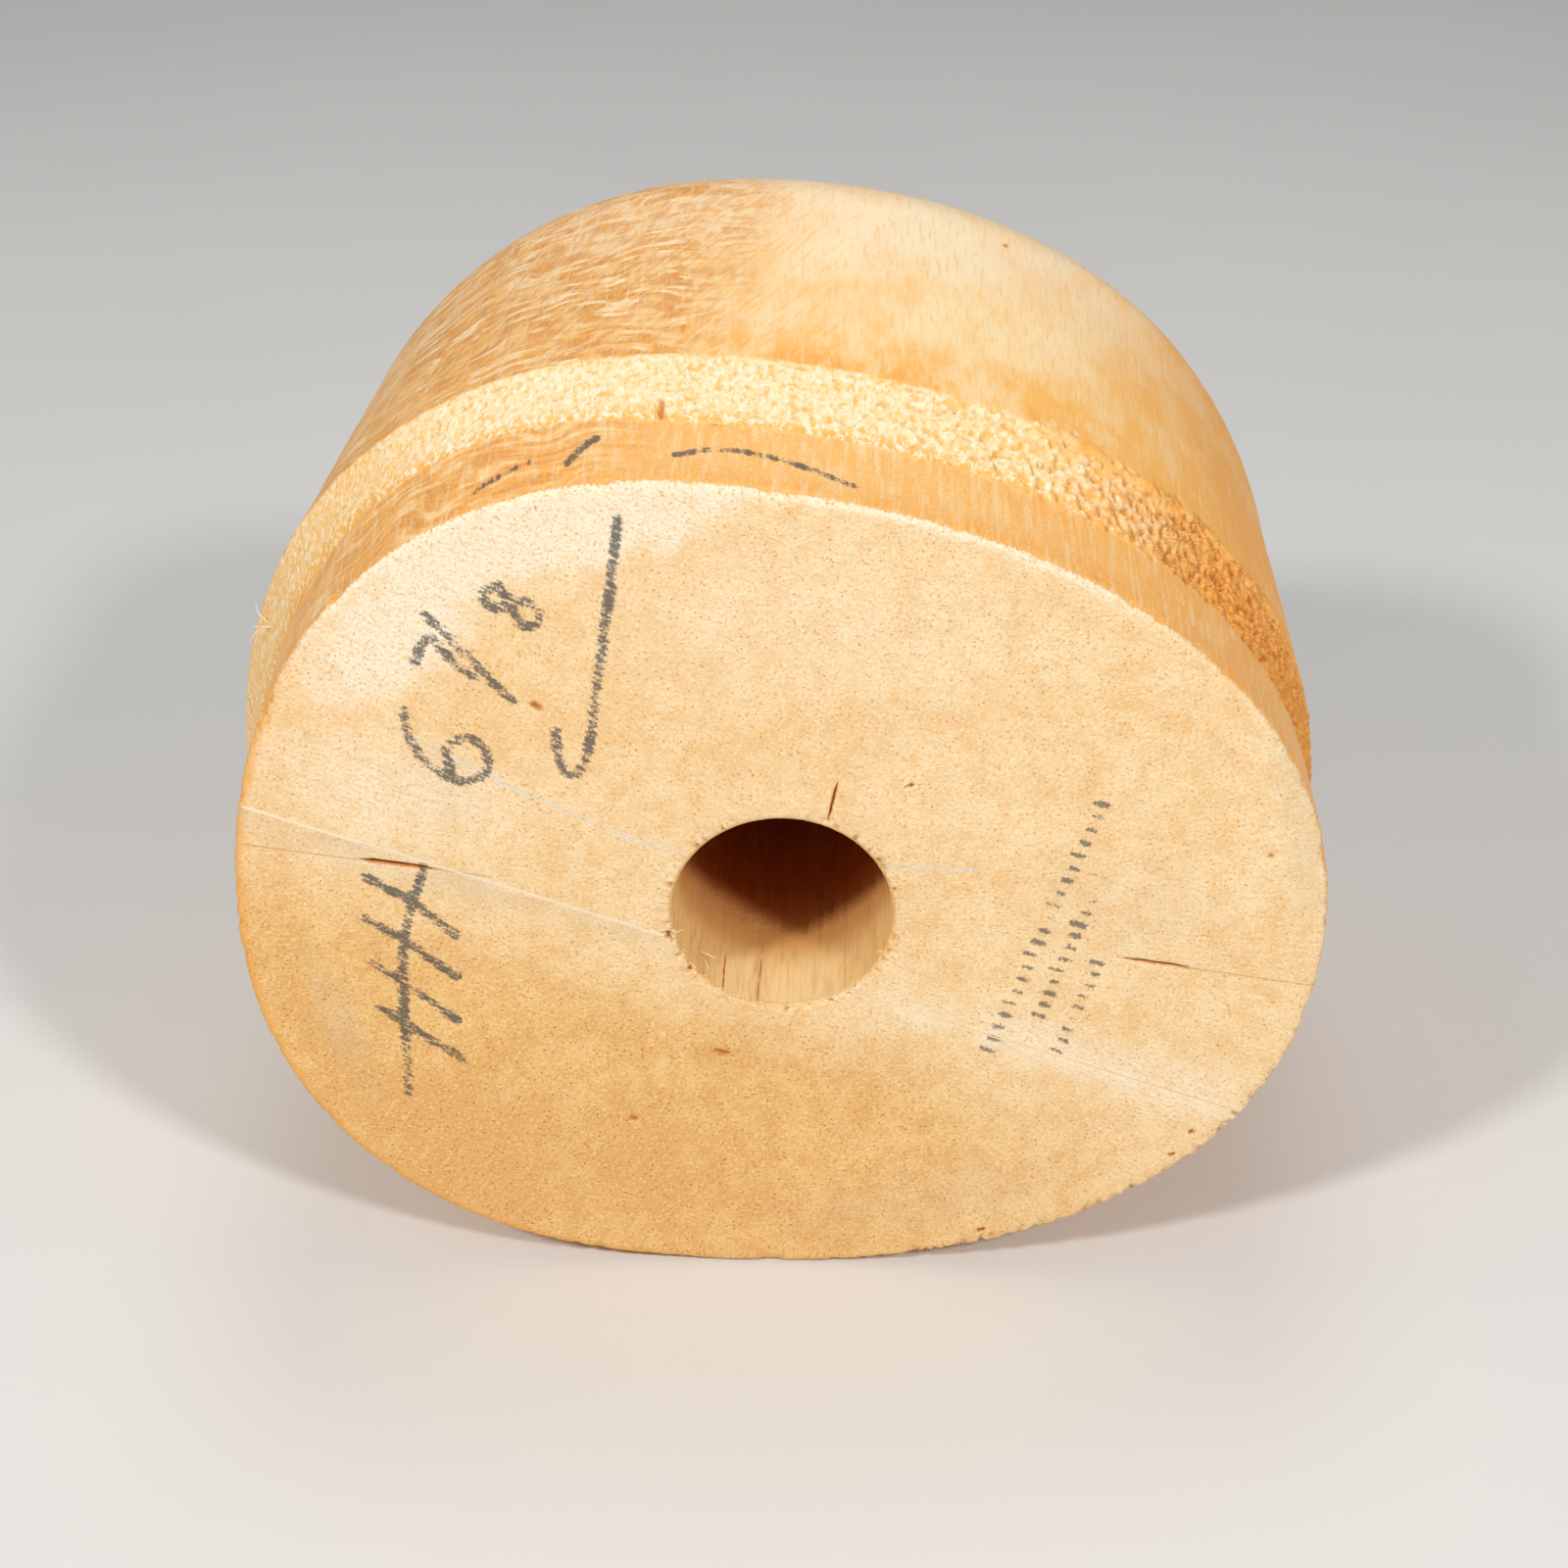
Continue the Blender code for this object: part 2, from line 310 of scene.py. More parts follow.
# How nodes are laid out in the editor
NODES_PER_ROW = 16
NODE_WIDTH = 220.0
NODE_HEIGHT = 260.0

# Where the bore's mouth lies in the picture, from its centre, as shares of its width
BORE_IN_PICTURE = (-2.0 / 1600.0, 134.0 / 1600.0)
SENSOR_WIDTH = 36.0
FLOOR_REACH = 6.0

# Each lamp: its place from the middle of the block, its width, and its share of the power
Lamp = namedtuple("Lamp", "name place width share")
LAMPS = (
    Lamp("left_lamp", (-0.77, -0.94, 1.04), 0.18, 1.0),
    Lamp("right_lamp", (0.71, -1.03, 1.00), 0.18, 0.95),
    Lamp("top_lamp", (0.0, 0.45, 1.40), 0.60, 0.30),
)
LAMP_TARGET = (0.0, -0.02, 0.07)


def ease(low, high, value):
    """A smooth step from 0 at low to 1 at high."""
    share = min(1.0, max(0.0, (value - low) / (high - low)))
    return share * share * (3.0 - 2.0 * share)


def softened(value):
    """The sine or cosine of a full oval, which is a little squarer than an ellipse."""
    return copysign(abs(value) ** (2.0 / FULLNESS), value)


def oval_point(oval, turn):
    """The point of an oval at a turn around it, as X and Z in the block's frame."""
    across = softened(cos(turn))
    up = softened(sin(turn))
    length = oval.front - oval.widest if across > 0 else oval.back + oval.widest
    height = oval.top - oval.tips if up > 0 else oval.bottom + oval.tips
    flat = Vector((oval.widest + across * length, oval.tips + up * height))
    flat.rotate(Matrix.Rotation(oval.roll, 2))
    return flat


def between(lower, upper, share):
    """The oval part of the way from one oval to the next."""
    return Oval(*(a + (b - a) * share for a, b in zip(lower, upper)))


def lift(flat, depth=0.0):
    """A place across the block as a point at a depth."""
    return Vector((flat.x, depth, flat.y))


def turns_around(count):
    return [tau * step / count for step in range(count)]


def outline(oval, depth, around, inset=0.0, share=1.0, crowding=0.0):
    """A closed ring of points at one depth, drawn in from its oval by a width or a share.

    Crowding moves the points closer together over the top of the ring.
    """
    points = []
    for turn in turns_around(around):
        flat = oval_point(oval, turn + crowding * cos(turn))
        points.append(lift(flat * (share * (1.0 - inset / flat.length)), depth))
    return points


def bore_ring(radius, depth):
    """A ring of the bore, with its points on the same spokes as the base's rings."""
    turns = turns_around(BORE_AROUND)
    return [lift(oval_point(BASE, turn).normalized() * radius, depth) for turn in turns]


def face_ring(form, share):
    """A ring of the base, part of the way from the bore's mouth to the rim."""
    mouth = 0.5 * form.bore_diameter + BORE_CHAMFER
    points = []
    for turn in turns_around(FACE_AROUND):
        flat = oval_point(BASE, turn)
        reach = flat.length - RIM_ROUND
        points.append(lift(flat * ((mouth + (reach - mouth) * share) / flat.length)))
    return points


def bore_rows(form):
    """The rings of the bore, from its centre mark to its mouth."""
    radius = 0.5 * form.bore_diameter
    rings = []
    for row in range(BORE_FLOOR_ROWS + 1):
        share = row / BORE_FLOOR_ROWS
        reach = 0.5 * PIP_DIAMETER + (radius - 0.5 * PIP_DIAMETER) * share
        rings.append(bore_ring(reach, form.bore_depth))
    rows = round((form.bore_depth - BORE_CHAMFER) / BORE_ROW)
    for row in range(1, rows + 1):
        share = row / rows
        depth = form.bore_depth + (BORE_CHAMFER - form.bore_depth) * sin(0.5 * pi * share)
        rings.append(bore_ring(radius, depth))
    return rings


def collar_rows(form):
    """The rings of the base, its rim and the collar, up to the start of the torn band."""
    rings = []
    for row in range(FACE_ROWS + 1):
        share = row / FACE_ROWS
        rings.append(face_ring(form, 0.5 * (share + 0.5 - 0.5 * cos(pi * share))))
    for row in range(1, RIM_ROWS + 1):
        turn = 0.5 * pi * row / RIM_ROWS
        inset = RIM_ROUND * (1.0 - sin(turn))
        depth = RIM_ROUND * (1.0 - cos(turn))
        oval = between(BASE, COLLAR, depth / form.collar_height)
        rings.append(outline(oval, depth, FACE_AROUND, inset))
    rows = round((form.collar_height - RIM_ROUND) / COLLAR_ROW)
    for row in range(1, rows):
        depth = RIM_ROUND + (form.collar_height - RIM_ROUND) * row / rows
        oval = between(BASE, COLLAR, depth / form.collar_height)
        rings.append(outline(oval, depth, FACE_AROUND))
    return rings


def torn_rows(form):
    """The rings of the band and of the crown's ragged edge above it."""
    rings = []
    rows = round(form.band_height / TORN_ROW)
    for row in range(rows):
        share = row / rows
        depth = form.collar_height + form.band_height * share
        lower = outline(COLLAR, depth, TORN_AROUND, crowding=CROWDING)
        upper = outline(CROWN_EDGE, depth, TORN_AROUND, crowding=CROWDING)
        rings.append([a.lerp(b, share) for a, b in zip(lower, upper)])
    rows = round(RAGGED_HEIGHT / (2.0 * TORN_ROW))
    for row in range(rows + 1):
        height = RAGGED_HEIGHT * row / rows
        oval = between(CROWN_EDGE, CROWN_TOP, height / form.crown_height)
        depth = form.collar_height + form.band_height + height
        rings.append(outline(oval, depth, TORN_AROUND, crowding=CROWDING))
    return rings


def crown_rows(form):
    """The rings of the crown, its shoulder and its slightly domed tip."""
    start = form.collar_height + form.band_height
    rings = []
    rows = round((form.crown_height - RAGGED_HEIGHT) / CROWN_ROW)
    for row in range(1, rows + 1):
        height = RAGGED_HEIGHT + (form.crown_height - RAGGED_HEIGHT) * row / rows
        oval = between(CROWN_EDGE, CROWN_TOP, height / form.crown_height)
        rings.append(outline(oval, start + height, CROWN_AROUND, crowding=CROWDING))
    straight_end = start + form.crown_height
    for row in range(1, SHOULDER_ROWS + 1):
        turn = SHOULDER_TURN * row / SHOULDER_ROWS
        inset = form.shoulder_radius * (1.0 - cos(turn))
        depth = straight_end + form.shoulder_radius * sin(turn)
        rings.append(outline(CROWN_TOP, depth, CROWN_AROUND, inset, crowding=CROWDING))
    inset = form.shoulder_radius * (1.0 - cos(SHOULDER_TURN))
    shoulder_end = straight_end + form.shoulder_radius * sin(SHOULDER_TURN)
    for row in range(1, TIP_ROWS):
        share = 1.0 - row / TIP_ROWS
        depth = shoulder_end + TIP_RISE * (1.0 - share ** 2)
        rings.append(outline(CROWN_TOP, depth, CROWN_AROUND, inset, share, CROWDING))
    return rings, Vector((0.0, shoulder_end + TIP_RISE, 0.0))


def resting_place(form):
    """The matrix that lays the block on its side, its lowest line along the floor."""
    start = form.collar_height + form.band_height
    edge = outline(CROWN_EDGE, start, PLACING_AROUND)
    top = outline(CROWN_TOP, start + form.crown_height, PLACING_AROUND)
    drop = min(point.z for point in edge) - min(point.z for point in top)
    turned = Matrix.Rotation(atan2(drop, form.crown_height), 4, "X")
    points = [turned @ point for point in edge + top]
    base = [turned @ point for point in outline(BASE, 0.0, PLACING_AROUND, RIM_ROUND)]
    low, high = CAD_BOX
    place = Vector((
        0.5 * (low.x + high.x) - 0.5 * (min(p.x for p in points) + max(p.x for p in points)),
        low.y - min(p.y for p in base),
        low.z - min(p.z for p in points),
    ))
    return Matrix.Translation(place) @ turned


def add_ring(bm, points):
    """A closed ring of edges through the points."""
    circle = bmesh.ops.create_circle(bm, segments=len(points), radius=1.0)["verts"]
    for vert, point in zip(circle, points):
        vert.co = point
    return [bm.edges.get(pair) for pair in zip(circle, circle[1:] + circle[:1])]


def close_pole(bm, loop, point):
    cap = bmesh.ops.edgeloop_fill(bm, edges=loop)["faces"]
    pole = bmesh.ops.poke(bm, faces=cap)["verts"][0]
    pole.co = point


def smooth_skin(form):
    """The whole block as one closed skin, before any wear."""
    crown, tip = crown_rows(form)
    rings = bore_rows(form) + collar_rows(form) + torn_rows(form) + crown
    bm = bmesh.new()
    loops = [add_ring(bm, ring) for ring in rings]
    for lower, upper in zip(loops, loops[1:]):
        bmesh.ops.bridge_loops(bm, edges=lower + upper)
    close_pole(bm, loops[0], Vector((0.0, form.bore_depth + PIP_DEPTH, 0.0)))
    close_pole(bm, loops[-1], tip)
    bmesh.ops.recalc_face_normals(bm, faces=bm.faces)
    return bm


def point_to_line(point, start, end):
    """How far a point is from a straight stretch, and how far along it the nearest place is."""
    along = end - start
    share = min(1.0, max(0.0, (point - start).dot(along) / along.length_squared))
    return (point - start - along * share).length, share


def refine(bm, tree, reach):
    """Divide the skin more finely around the spots in a tree."""
    edges = []
    for edge in bm.edges:
        middle = 0.5 * (edge.verts[0].co + edge.verts[1].co)
        if tree.find(middle)[2] < reach:
            edges.append(edge)
    bmesh.ops.subdivide_edges(bm, edges=edges, cuts=1, use_grid_fill=True)


def curve_through(points, step):
    """Points closely spaced along a smooth curve through a few others."""
    spots = []
    last = len(points) - 1
    for index in range(last):
        before = points[max(0, index - 1)]
        start = points[index]
        end = points[index + 1]
        after = points[min(last, index + 2)]
        count = max(2, round((end - start).length / step))
        for part in range(count):
            t = part / count
            rise = (end - before) * t
            bend = (2.0 * before - 5.0 * start + 4.0 * end - after) * t * t
            twist = (3.0 * start - before - 3.0 * end + after) * t * t * t
            spots.append(0.5 * (2.0 * start + rise + bend + twist))
    spots.append(points[last])
    return spots


def crayon_spots():
    """Points along every crayon stroke, in the block's frame."""
    strokes = []
    for glyph in FIGURES:
        turn = Matrix.Rotation(radians(glyph.turn), 2)
        corner = Vector(glyph.corner)
        strokes.append([corner + turn @ (Vector(p) * glyph.height) for p in glyph.shape])
    strokes += [[Vector(point) for point in stroke] for stroke in (LONG_TICK, *TALLY)]
    spots = [lift(flat) * MM for stroke in strokes for flat in curve_through(stroke, STROKE_STEP)]
    for tick in COLLAR_TICKS:
        points = []
        for turn, depth in tick:
            flat = oval_point(between(BASE, COLLAR, depth * MM / COLLAR_HEIGHT), radians(turn))
            points.append(lift(flat, depth * MM) / MM)
        spots += [point * MM for point in curve_through(points, STROKE_STEP)]
    return spots


def ink_spots():
    """Points along the worn rule marks."""
    spots = []
    for start, end, count in RULE_ROWS:
        start = Vector(start)
        along = Vector(end) - start
        across = Vector((-along.y, along.x)).normalized()
        for mark in range(count):
            foot = start + along * (mark / count)
            height = RULE_HEIGHT * (SHORT_RULE if mark % LONG_RULE_EVERY else 1.0)
            stroke = curve_through([foot, foot + across * height], STROKE_STEP)
            spots += [lift(flat) * MM for flat in stroke]
    return spots


def check_spots():
    """Points along every split and chip."""
    spots = []
    for check in CHECKS:
        points = [Vector(check.start), Vector(check.end)]
        spots += [point * MM for point in curve_through(points, STROKE_STEP)]
    return spots


def tree_of(spots):
    tree = KDTree(len(spots))
    for index, spot in enumerate(spots):
        tree.insert(spot, index)
    tree.balance()
    return tree


def wave(place, size):
    """Smooth noise about 0, in swells about as wide as the size."""
    return noise.noise(place / size)


def rightward(turn):
    """How far round to the right a place is, where the tool tore the band most."""
    return ease(84.0, 52.0, abs(turn)) if turn > -25.0 else 0.35


def torn_edge(turn, place):
    """How torn the band is at a place, from 0 to 1. Its edge is ragged on the right."""
    x, depth, z = place
    right = rightward(turn)
    wander = wave(Vector((x, depth * 0.3, z)), 2.6)
    clump = noise.noise(place / 2.8 + Vector((7.0, 3.0, 1.0)))
    low = TORN_START + 0.5 * wave(Vector((x, 0.0, z)), 1.1)
    high = TORN_END + 0.5 * wander + right * (0.6 + 7.5 * clump)
    soft = 0.3 + 1.6 * right
    return ease(low - 0.25, low + 0.35, depth) * ease(high + soft, high - soft, depth)


def torn_depth(turn, place):
    """How far the torn grain stands proud, in millimetres, and how deep in a pit it is."""
    x, depth, z = place
    right = rightward(turn)
    left = ease(96.0, 125.0, abs(turn))
    lumpy = ease(30.0, 48.0, turn) * ease(86.0, 62.0, turn)
    wide = 0.9 + 0.3 * right + 1.0 * lumpy
    tall = 1.0 + 0.5 * right + 2.8 * lumpy
    lean = 0.4 * depth
    near, second = noise.voronoi(Vector(((x + lean) / wide, depth / tall, z / wide)))[0][:2]
    gap = 1.0 - ease(0.0, 0.34, second - near)
    sparse = 0.30 - 0.16 * right + 0.12 * left
    pitted = wave(Vector((x + lean, depth / (1.0 + lumpy), z)), 1.05)
    hollow = ease(sparse, sparse + 0.22, pitted)
    swell = wave(place, 2.2)
    size = 0.22 + 0.26 * right + 0.10 * lumpy - 0.06 * left
    height = size * (0.30 + 0.8 * swell - 0.6 * gap - 1.4 * hollow)
    height += (0.13 - 0.07 * right) * wave(place, 0.8)
    cracked = 0.25 + 0.35 * right + 0.50 * lumpy * ease(-0.05, 0.35, swell)
    return height, min(1.0, cracked * gap + hollow)


def stain_strengths(x, z, ragged):
    """What the stains add to each layer at a place on the base, in millimetres."""
    found = {}
    for stain in STAINS:
        turn = radians(stain.turn)
        dx = x - stain.centre[0]
        dz = z - stain.centre[1]
        along = (dx * cos(turn) + dz * sin(turn)) / stain.reach[0]
        across = (dz * cos(turn) - dx * sin(turn)) / stain.reach[1]
        far = hypot(along, across)
        if far < STAIN_FAR:
            share = ease(1.5, 0.3, far + ragged)
            found[stain.layer] = found.get(stain.layer, 0.0) + stain.strength * share
    return found


def rim_wear(turn, from_rim, x, z):
    """How far the rim of the base is worn or nicked, in millimetres."""
    reach = 1.0 - ease(0.2, 1.9, from_rim)
    if reach <= 0.0:
        return 0.0
    jagged = ease(-80.0, -60.0, turn) * ease(-8.0, -26.0, turn)
    chipped = exp(-((turn - 156.0) / 2.6) ** 2)
    nick = ease(0.02, 0.5, wave(Vector((x, 0.0, z)), 0.95))
    bite = ease(0.15, 0.5, wave(Vector((x, 4.0, z)), 3.2))
    return reach * (nick * (0.10 + 0.75 * jagged) + 0.25 * bite + 0.9 * chipped * (0.4 + nick))


def bore_relief(place):
    """How far the wall of the bore stands proud: grooves along it and fuzz on its lower lip."""
    x, depth, z = place
    grooves = wave(Vector((x, depth * 0.04, z)), 0.9)
    lip = ease(3.5, 0.4, depth) * ease(4.0, -8.0, z)
    fuzz = noise.noise(Vector((x / 0.35, depth / 1.6, z / 0.35)))
    return 0.05 * grooves + lip * 0.22 * fuzz


def skin_relief(place, from_chamfer):
    """How far the sound skin stands proud, and how dark its chips beside the bore are."""
    x, depth, z = place
    if depth < FACE_DEPTH:
        chip = ease(2.2, 0.4, from_chamfer) * ease(0.1, 0.5, wave(place, 1.3))
        height = 0.10 * wave(place, 15.0) + 0.035 * wave(place, 2.4) - 0.8 * chip
        return height, 0.28 * chip
    if depth < COLLAR_DEPTH:
        fine = noise.noise(Vector((x / 0.8, depth / 12.0, z / 0.8)))
        return 0.14 * wave(place, 14.0) + 0.03 * fine, 0.0
    return 0.30 * wave(place, 34.0) + 0.08 * wave(place, 8.0), 0.0


def check_relief(place, checks):
    """How deep the splits and chips cut at a place, and how dark they are there."""
    cut = 0.0
    dark = 0.0
    for start, end, check in checks:
        length = (end - start).length
        if (place - start).length > check.width + length + CHECK_FAR:
            continue
        gap, share = point_to_line(place, start, end)
        taper = 0.45 + 0.55 * ease(0.0, 0.25, share) * ease(1.0, 0.75, share)
        if length < SHORT_CHECK:
            taper = 1.0
        ragged = 1.0 + 0.5 * wave(place, 0.6)
        inner = ease(check.width * taper * ragged, 0.25 * check.width, gap)
        cut += inner * check.depth * taper
        dark = max(dark, inner * check.tone)
    return cut, dark


def base_tints(place, turn, from_rim, inside):
    """What stains, the wear of the rim and a painted highlight along its top add to each layer of
    the base.
    """
    x, depth, z = place
    ragged = 0.35 * wave(place, 5.0) + 0.2 * wave(place, 1.6)
    found = stain_strengths(x, z, ragged) if depth <= STAIN_DEPTH else {}
    if not inside:
        edge = ease(1.7 + 2.4 * ragged, 0.2, from_rim)
        low_left = ease(140.0, 158.0, turn) if turn > 0.0 else ease(-95.0, -125.0, turn)
        found["rim"] = edge * low_left
        # Painted highlight: a pale line along the top of the rounded rim, where the lamps catch it.
        pale = edge * 0.8 * ease(30.0, 60.0, turn) * ease(160.0, 150.0, turn)
        found["pale"] = found.get("pale", 0.0) + pale
    return {name: max(0.0, min(1.0, strength)) for name, strength in found.items()}


def weather(bm, form, layers):
    """Wear the smooth skin, point by point, and note on each what its finish shows."""
    bm.normal_update()
    outer = tree_of([lift(oval_point(BASE, turn)) for turn in turns_around(FACE_AROUND)])
    marks = {"crayon": tree_of(crayon_spots()), "ink": tree_of(ink_spots())}
    radius = 0.5 * form.bore_diameter / MM
    floor = (form.bore_depth + 2.0 * PIP_DEPTH) / MM
    checks = [(Vector(check.start), Vector(check.end), check) for check in CHECKS]
    moves = []
    for vert in bm.verts:
        place = vert.co / MM
        x, depth, z = place
        turn = degrees(atan2(z, x))
        from_axis = hypot(x, z)
        from_rim = max(0.0, outer.find(vert.co)[2] - RIM_INSET) / MM
        inside = from_axis < radius + BORE_MARGIN and 0.0 < depth < floor
        if inside:
            notes = {"hollow": 1.0, "crayon": MARK_FAR, "ink": MARK_FAR}
            height, dark = bore_relief(place), 0.0
        else:
            notes = {name: min(MARK_FAR, tree.find(vert.co)[2] / MM) for name, tree in marks.items()}
            height, dark = skin_relief(place, from_axis - radius)
        if depth < RIM_DEPTH:
            notes.update(base_tints(place, turn, from_rim, inside))
        torn = torn_edge(turn, place)
        if torn > 0.0:
            proud, pit = torn_depth(turn, place)
            notes.update(torn=torn, pit=pit)
            height += torn * proud
        cut, split = check_relief(place, checks)
        notes["check"] = max(dark, split)
        for name, strength in notes.items():
            vert[layers[name]] = strength
        move = vert.normal * ((height - cut) * MM)
        if not inside and from_rim < RIM_WORN:
            inward = Vector((-x, 0.0, -z)).normalized()
            worn = rim_wear(turn, from_rim, x, z) * MM
            move += (inward + RIM_SLANT) * worn
        moves.append(move)
    for vert, move in zip(bm.verts, moves):
        vert.co += move


def mesh_from(name, bm):
    """Turn a bmesh into mesh data, and free it."""
    mesh = bpy.data.meshes.new(name)
    bm.to_mesh(mesh)
    bm.free()
    return mesh


def worn_skin(form):
    """The block's weathered skin as mesh data, laid on the floor."""
    bm = smooth_skin(form)
    refine(bm, tree_of(crayon_spots() + ink_spots()), MARK_REACH)
    refine(bm, tree_of(check_spots()), CHECK_REACH)
    weather(bm, form, {name: bm.verts.layers.float.new(name) for name in LAYERS})
    bm.transform(resting_place(form))
    floor = CAD_BOX[0].z
    for vert in bm.verts:
        vert.co.z = max(vert.co.z, floor)
    old = bpy.data.meshes.get(SKIN_NAME)
    if old:
        bpy.data.meshes.remove(old)
    return mesh_from(SKIN_NAME, bm)


def fibre(bm, points, width):
    """One loose fibre: a thin four-sided strand through the points, finer towards its tip."""
    spots = curve_through(points, FIBRE_STEP)
    last = len(spots) - 1
    loops = []
    for index, spot in enumerate(spots):
        ahead = spots[min(index + 1, last)] - spots[max(index - 1, 0)]
        facing = ahead.to_track_quat("Z", "Y")
        radius = 0.5 * width * (1.0 - FIBRE_TAPER * index / last)
        turns = turns_around(FIBRE_SIDES)
        ring = [Vector((cos(turn), sin(turn), 0.0)) * radius for turn in turns]
        loops.append(add_ring(bm, [spot + facing @ point for point in ring]))
    for lower, upper in zip(loops, loops[1:]):
        bmesh.ops.bridge_loops(bm, edges=lower + upper)
    for loop in (loops[0], loops[-1]):
        bmesh.ops.edgeloop_fill(bm, edges=loop)


def fuzz_paths(form, dice):
    """Short fibres that stand up along the torn band, mostly where it shows."""
    paths = []
    for _ in range(FUZZ_COUNT):
        turn = radians(dice.uniform(-35.0, 200.0))
        share = dice.uniform(0.03, 0.92)
        flat = oval_point(COLLAR, turn).lerp(oval_point(CROWN_EDGE, turn), share)
        root = lift(flat, form.collar_height + form.band_height * share)
        out = lift(flat).normalized()
        around = Vector((-out.z, 0.0, out.x))
        lean = around * dice.uniform(-0.7, 0.7) + Vector((0.0, dice.uniform(-1.0, 0.2), 0.0))
        length = dice.uniform(0.5, 1.1) * MM
        tip = root + (out * 0.45 + lean) * length
        paths.append(((root - out * 0.5 * MM, root, tip), dice.uniform(0.16, 0.30) * MM))
    return paths


def lip_paths(form, dice):
    """Short fibres that stand out along the lower lip of the bore."""
    paths = []
    radius = 0.5 * form.bore_diameter
    for _ in range(LIP_COUNT):
        turn = radians(dice.gauss(-88.0, 28.0))
        spoke = Vector((cos(turn), 0.0, sin(turn)))
        root = spoke * (radius + 0.15 * MM) + Vector((0.0, dice.uniform(0.2, 1.4) * MM, 0.0))
        reach = spoke * dice.uniform(-0.9, -0.1) + Vector((dice.uniform(-0.4, 0.4), -0.8, 0.0))
        tip = root + reach * dice.uniform(0.7, 1.8) * MM
        paths.append(((root, root.lerp(tip, 0.5), tip), dice.uniform(0.15, 0.28) * MM))
    return paths


def joint_plane(form, offset):
    """A point and the upward normal of a plane beside the glued joint, on the floor."""
    place = resting_place(form)
    slope = Matrix.Rotation(-JOINT_SLOPE, 4, "Y")
    point = slope @ Vector((0.0, 0.0, -JOINT_DROP + offset))
    normal = slope.to_3x3() @ Vector((0.0, 0.0, 1.0))
    return place @ point, place.to_3x3() @ normal


def slice_skin(bm, form, offset, keep_above):
    """Cut the skin beside the joint, keep one side and close the cut with a crisp edge."""
    point, normal = joint_plane(form, offset)
    cut = bmesh.ops.bisect_plane(
        bm,
        geom=bm.verts[:] + bm.edges[:] + bm.faces[:],
        dist=CUT_TOLERANCE,
        plane_co=point,
        plane_no=normal,
        clear_inner=keep_above,
        clear_outer=not keep_above,
    )["geom_cut"]
    edges = [part for part in cut if isinstance(part, bmesh.types.BMEdge)]
    bmesh.ops.edgeloop_fill(bm, edges=edges)
    for edge in edges:
        edge.smooth = False


def add_object(name, data):
    """Put mesh data, a lamp or a camera into the scene."""
    thing = bpy.data.objects.new(name, data)
    bpy.context.scene.collection.objects.link(thing)
    return thing


def finish_piece(name, bm, material, node=None):
    """Turn a bmesh into a piece of the block that rides with it."""
    bmesh.ops.recalc_face_normals(bm, faces=bm.faces)
    for face in bm.faces:
        face.smooth = True
    mesh = mesh_from(name, bm)
    mesh.materials.append(material)
    piece = add_object(name, mesh)
    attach(piece, "root")
    if node:
        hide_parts(node)


class Value:
    """One socket of a material. Working with values adds the Math nodes that they need."""

    def __init__(self, paint, socket):
        self.paint = paint
        self.socket = socket

    def __add__(self, other):
        return self.paint.math("ADD", self, other)

    __radd__ = __add__

    def __sub__(self, other):
        return self.paint.math("SUBTRACT", self, other)

    def __rsub__(self, other):
        return self.paint.math("SUBTRACT", other, self)

    def __mul__(self, other):
        return self.paint.math("MULTIPLY", self, other)

    __rmul__ = __mul__

    def __truediv__(self, other):
        return self.paint.math("DIVIDE", self, other)

    def parts(self):
        """The three numbers of a place."""
        node = self.paint.node("SeparateXYZ", inputs={0: self}).socket.node
        return [Value(self.paint, node.outputs[axis]) for axis in ("X", "Y", "Z")]

    def clamped(self):
        return self.paint.node("Clamp", inputs={"Value": self})

    def size(self):
        return self.paint.math("ABSOLUTE", self)

    def rise(self, low, high):
        """A smooth step from 0 at low to 1 at high. It falls where low is above high."""
        inputs = {"Value": self, "From Min": low, "From Max": high}
        return self.paint.node("MapRange", {"interpolation_type": "SMOOTHSTEP"}, inputs)


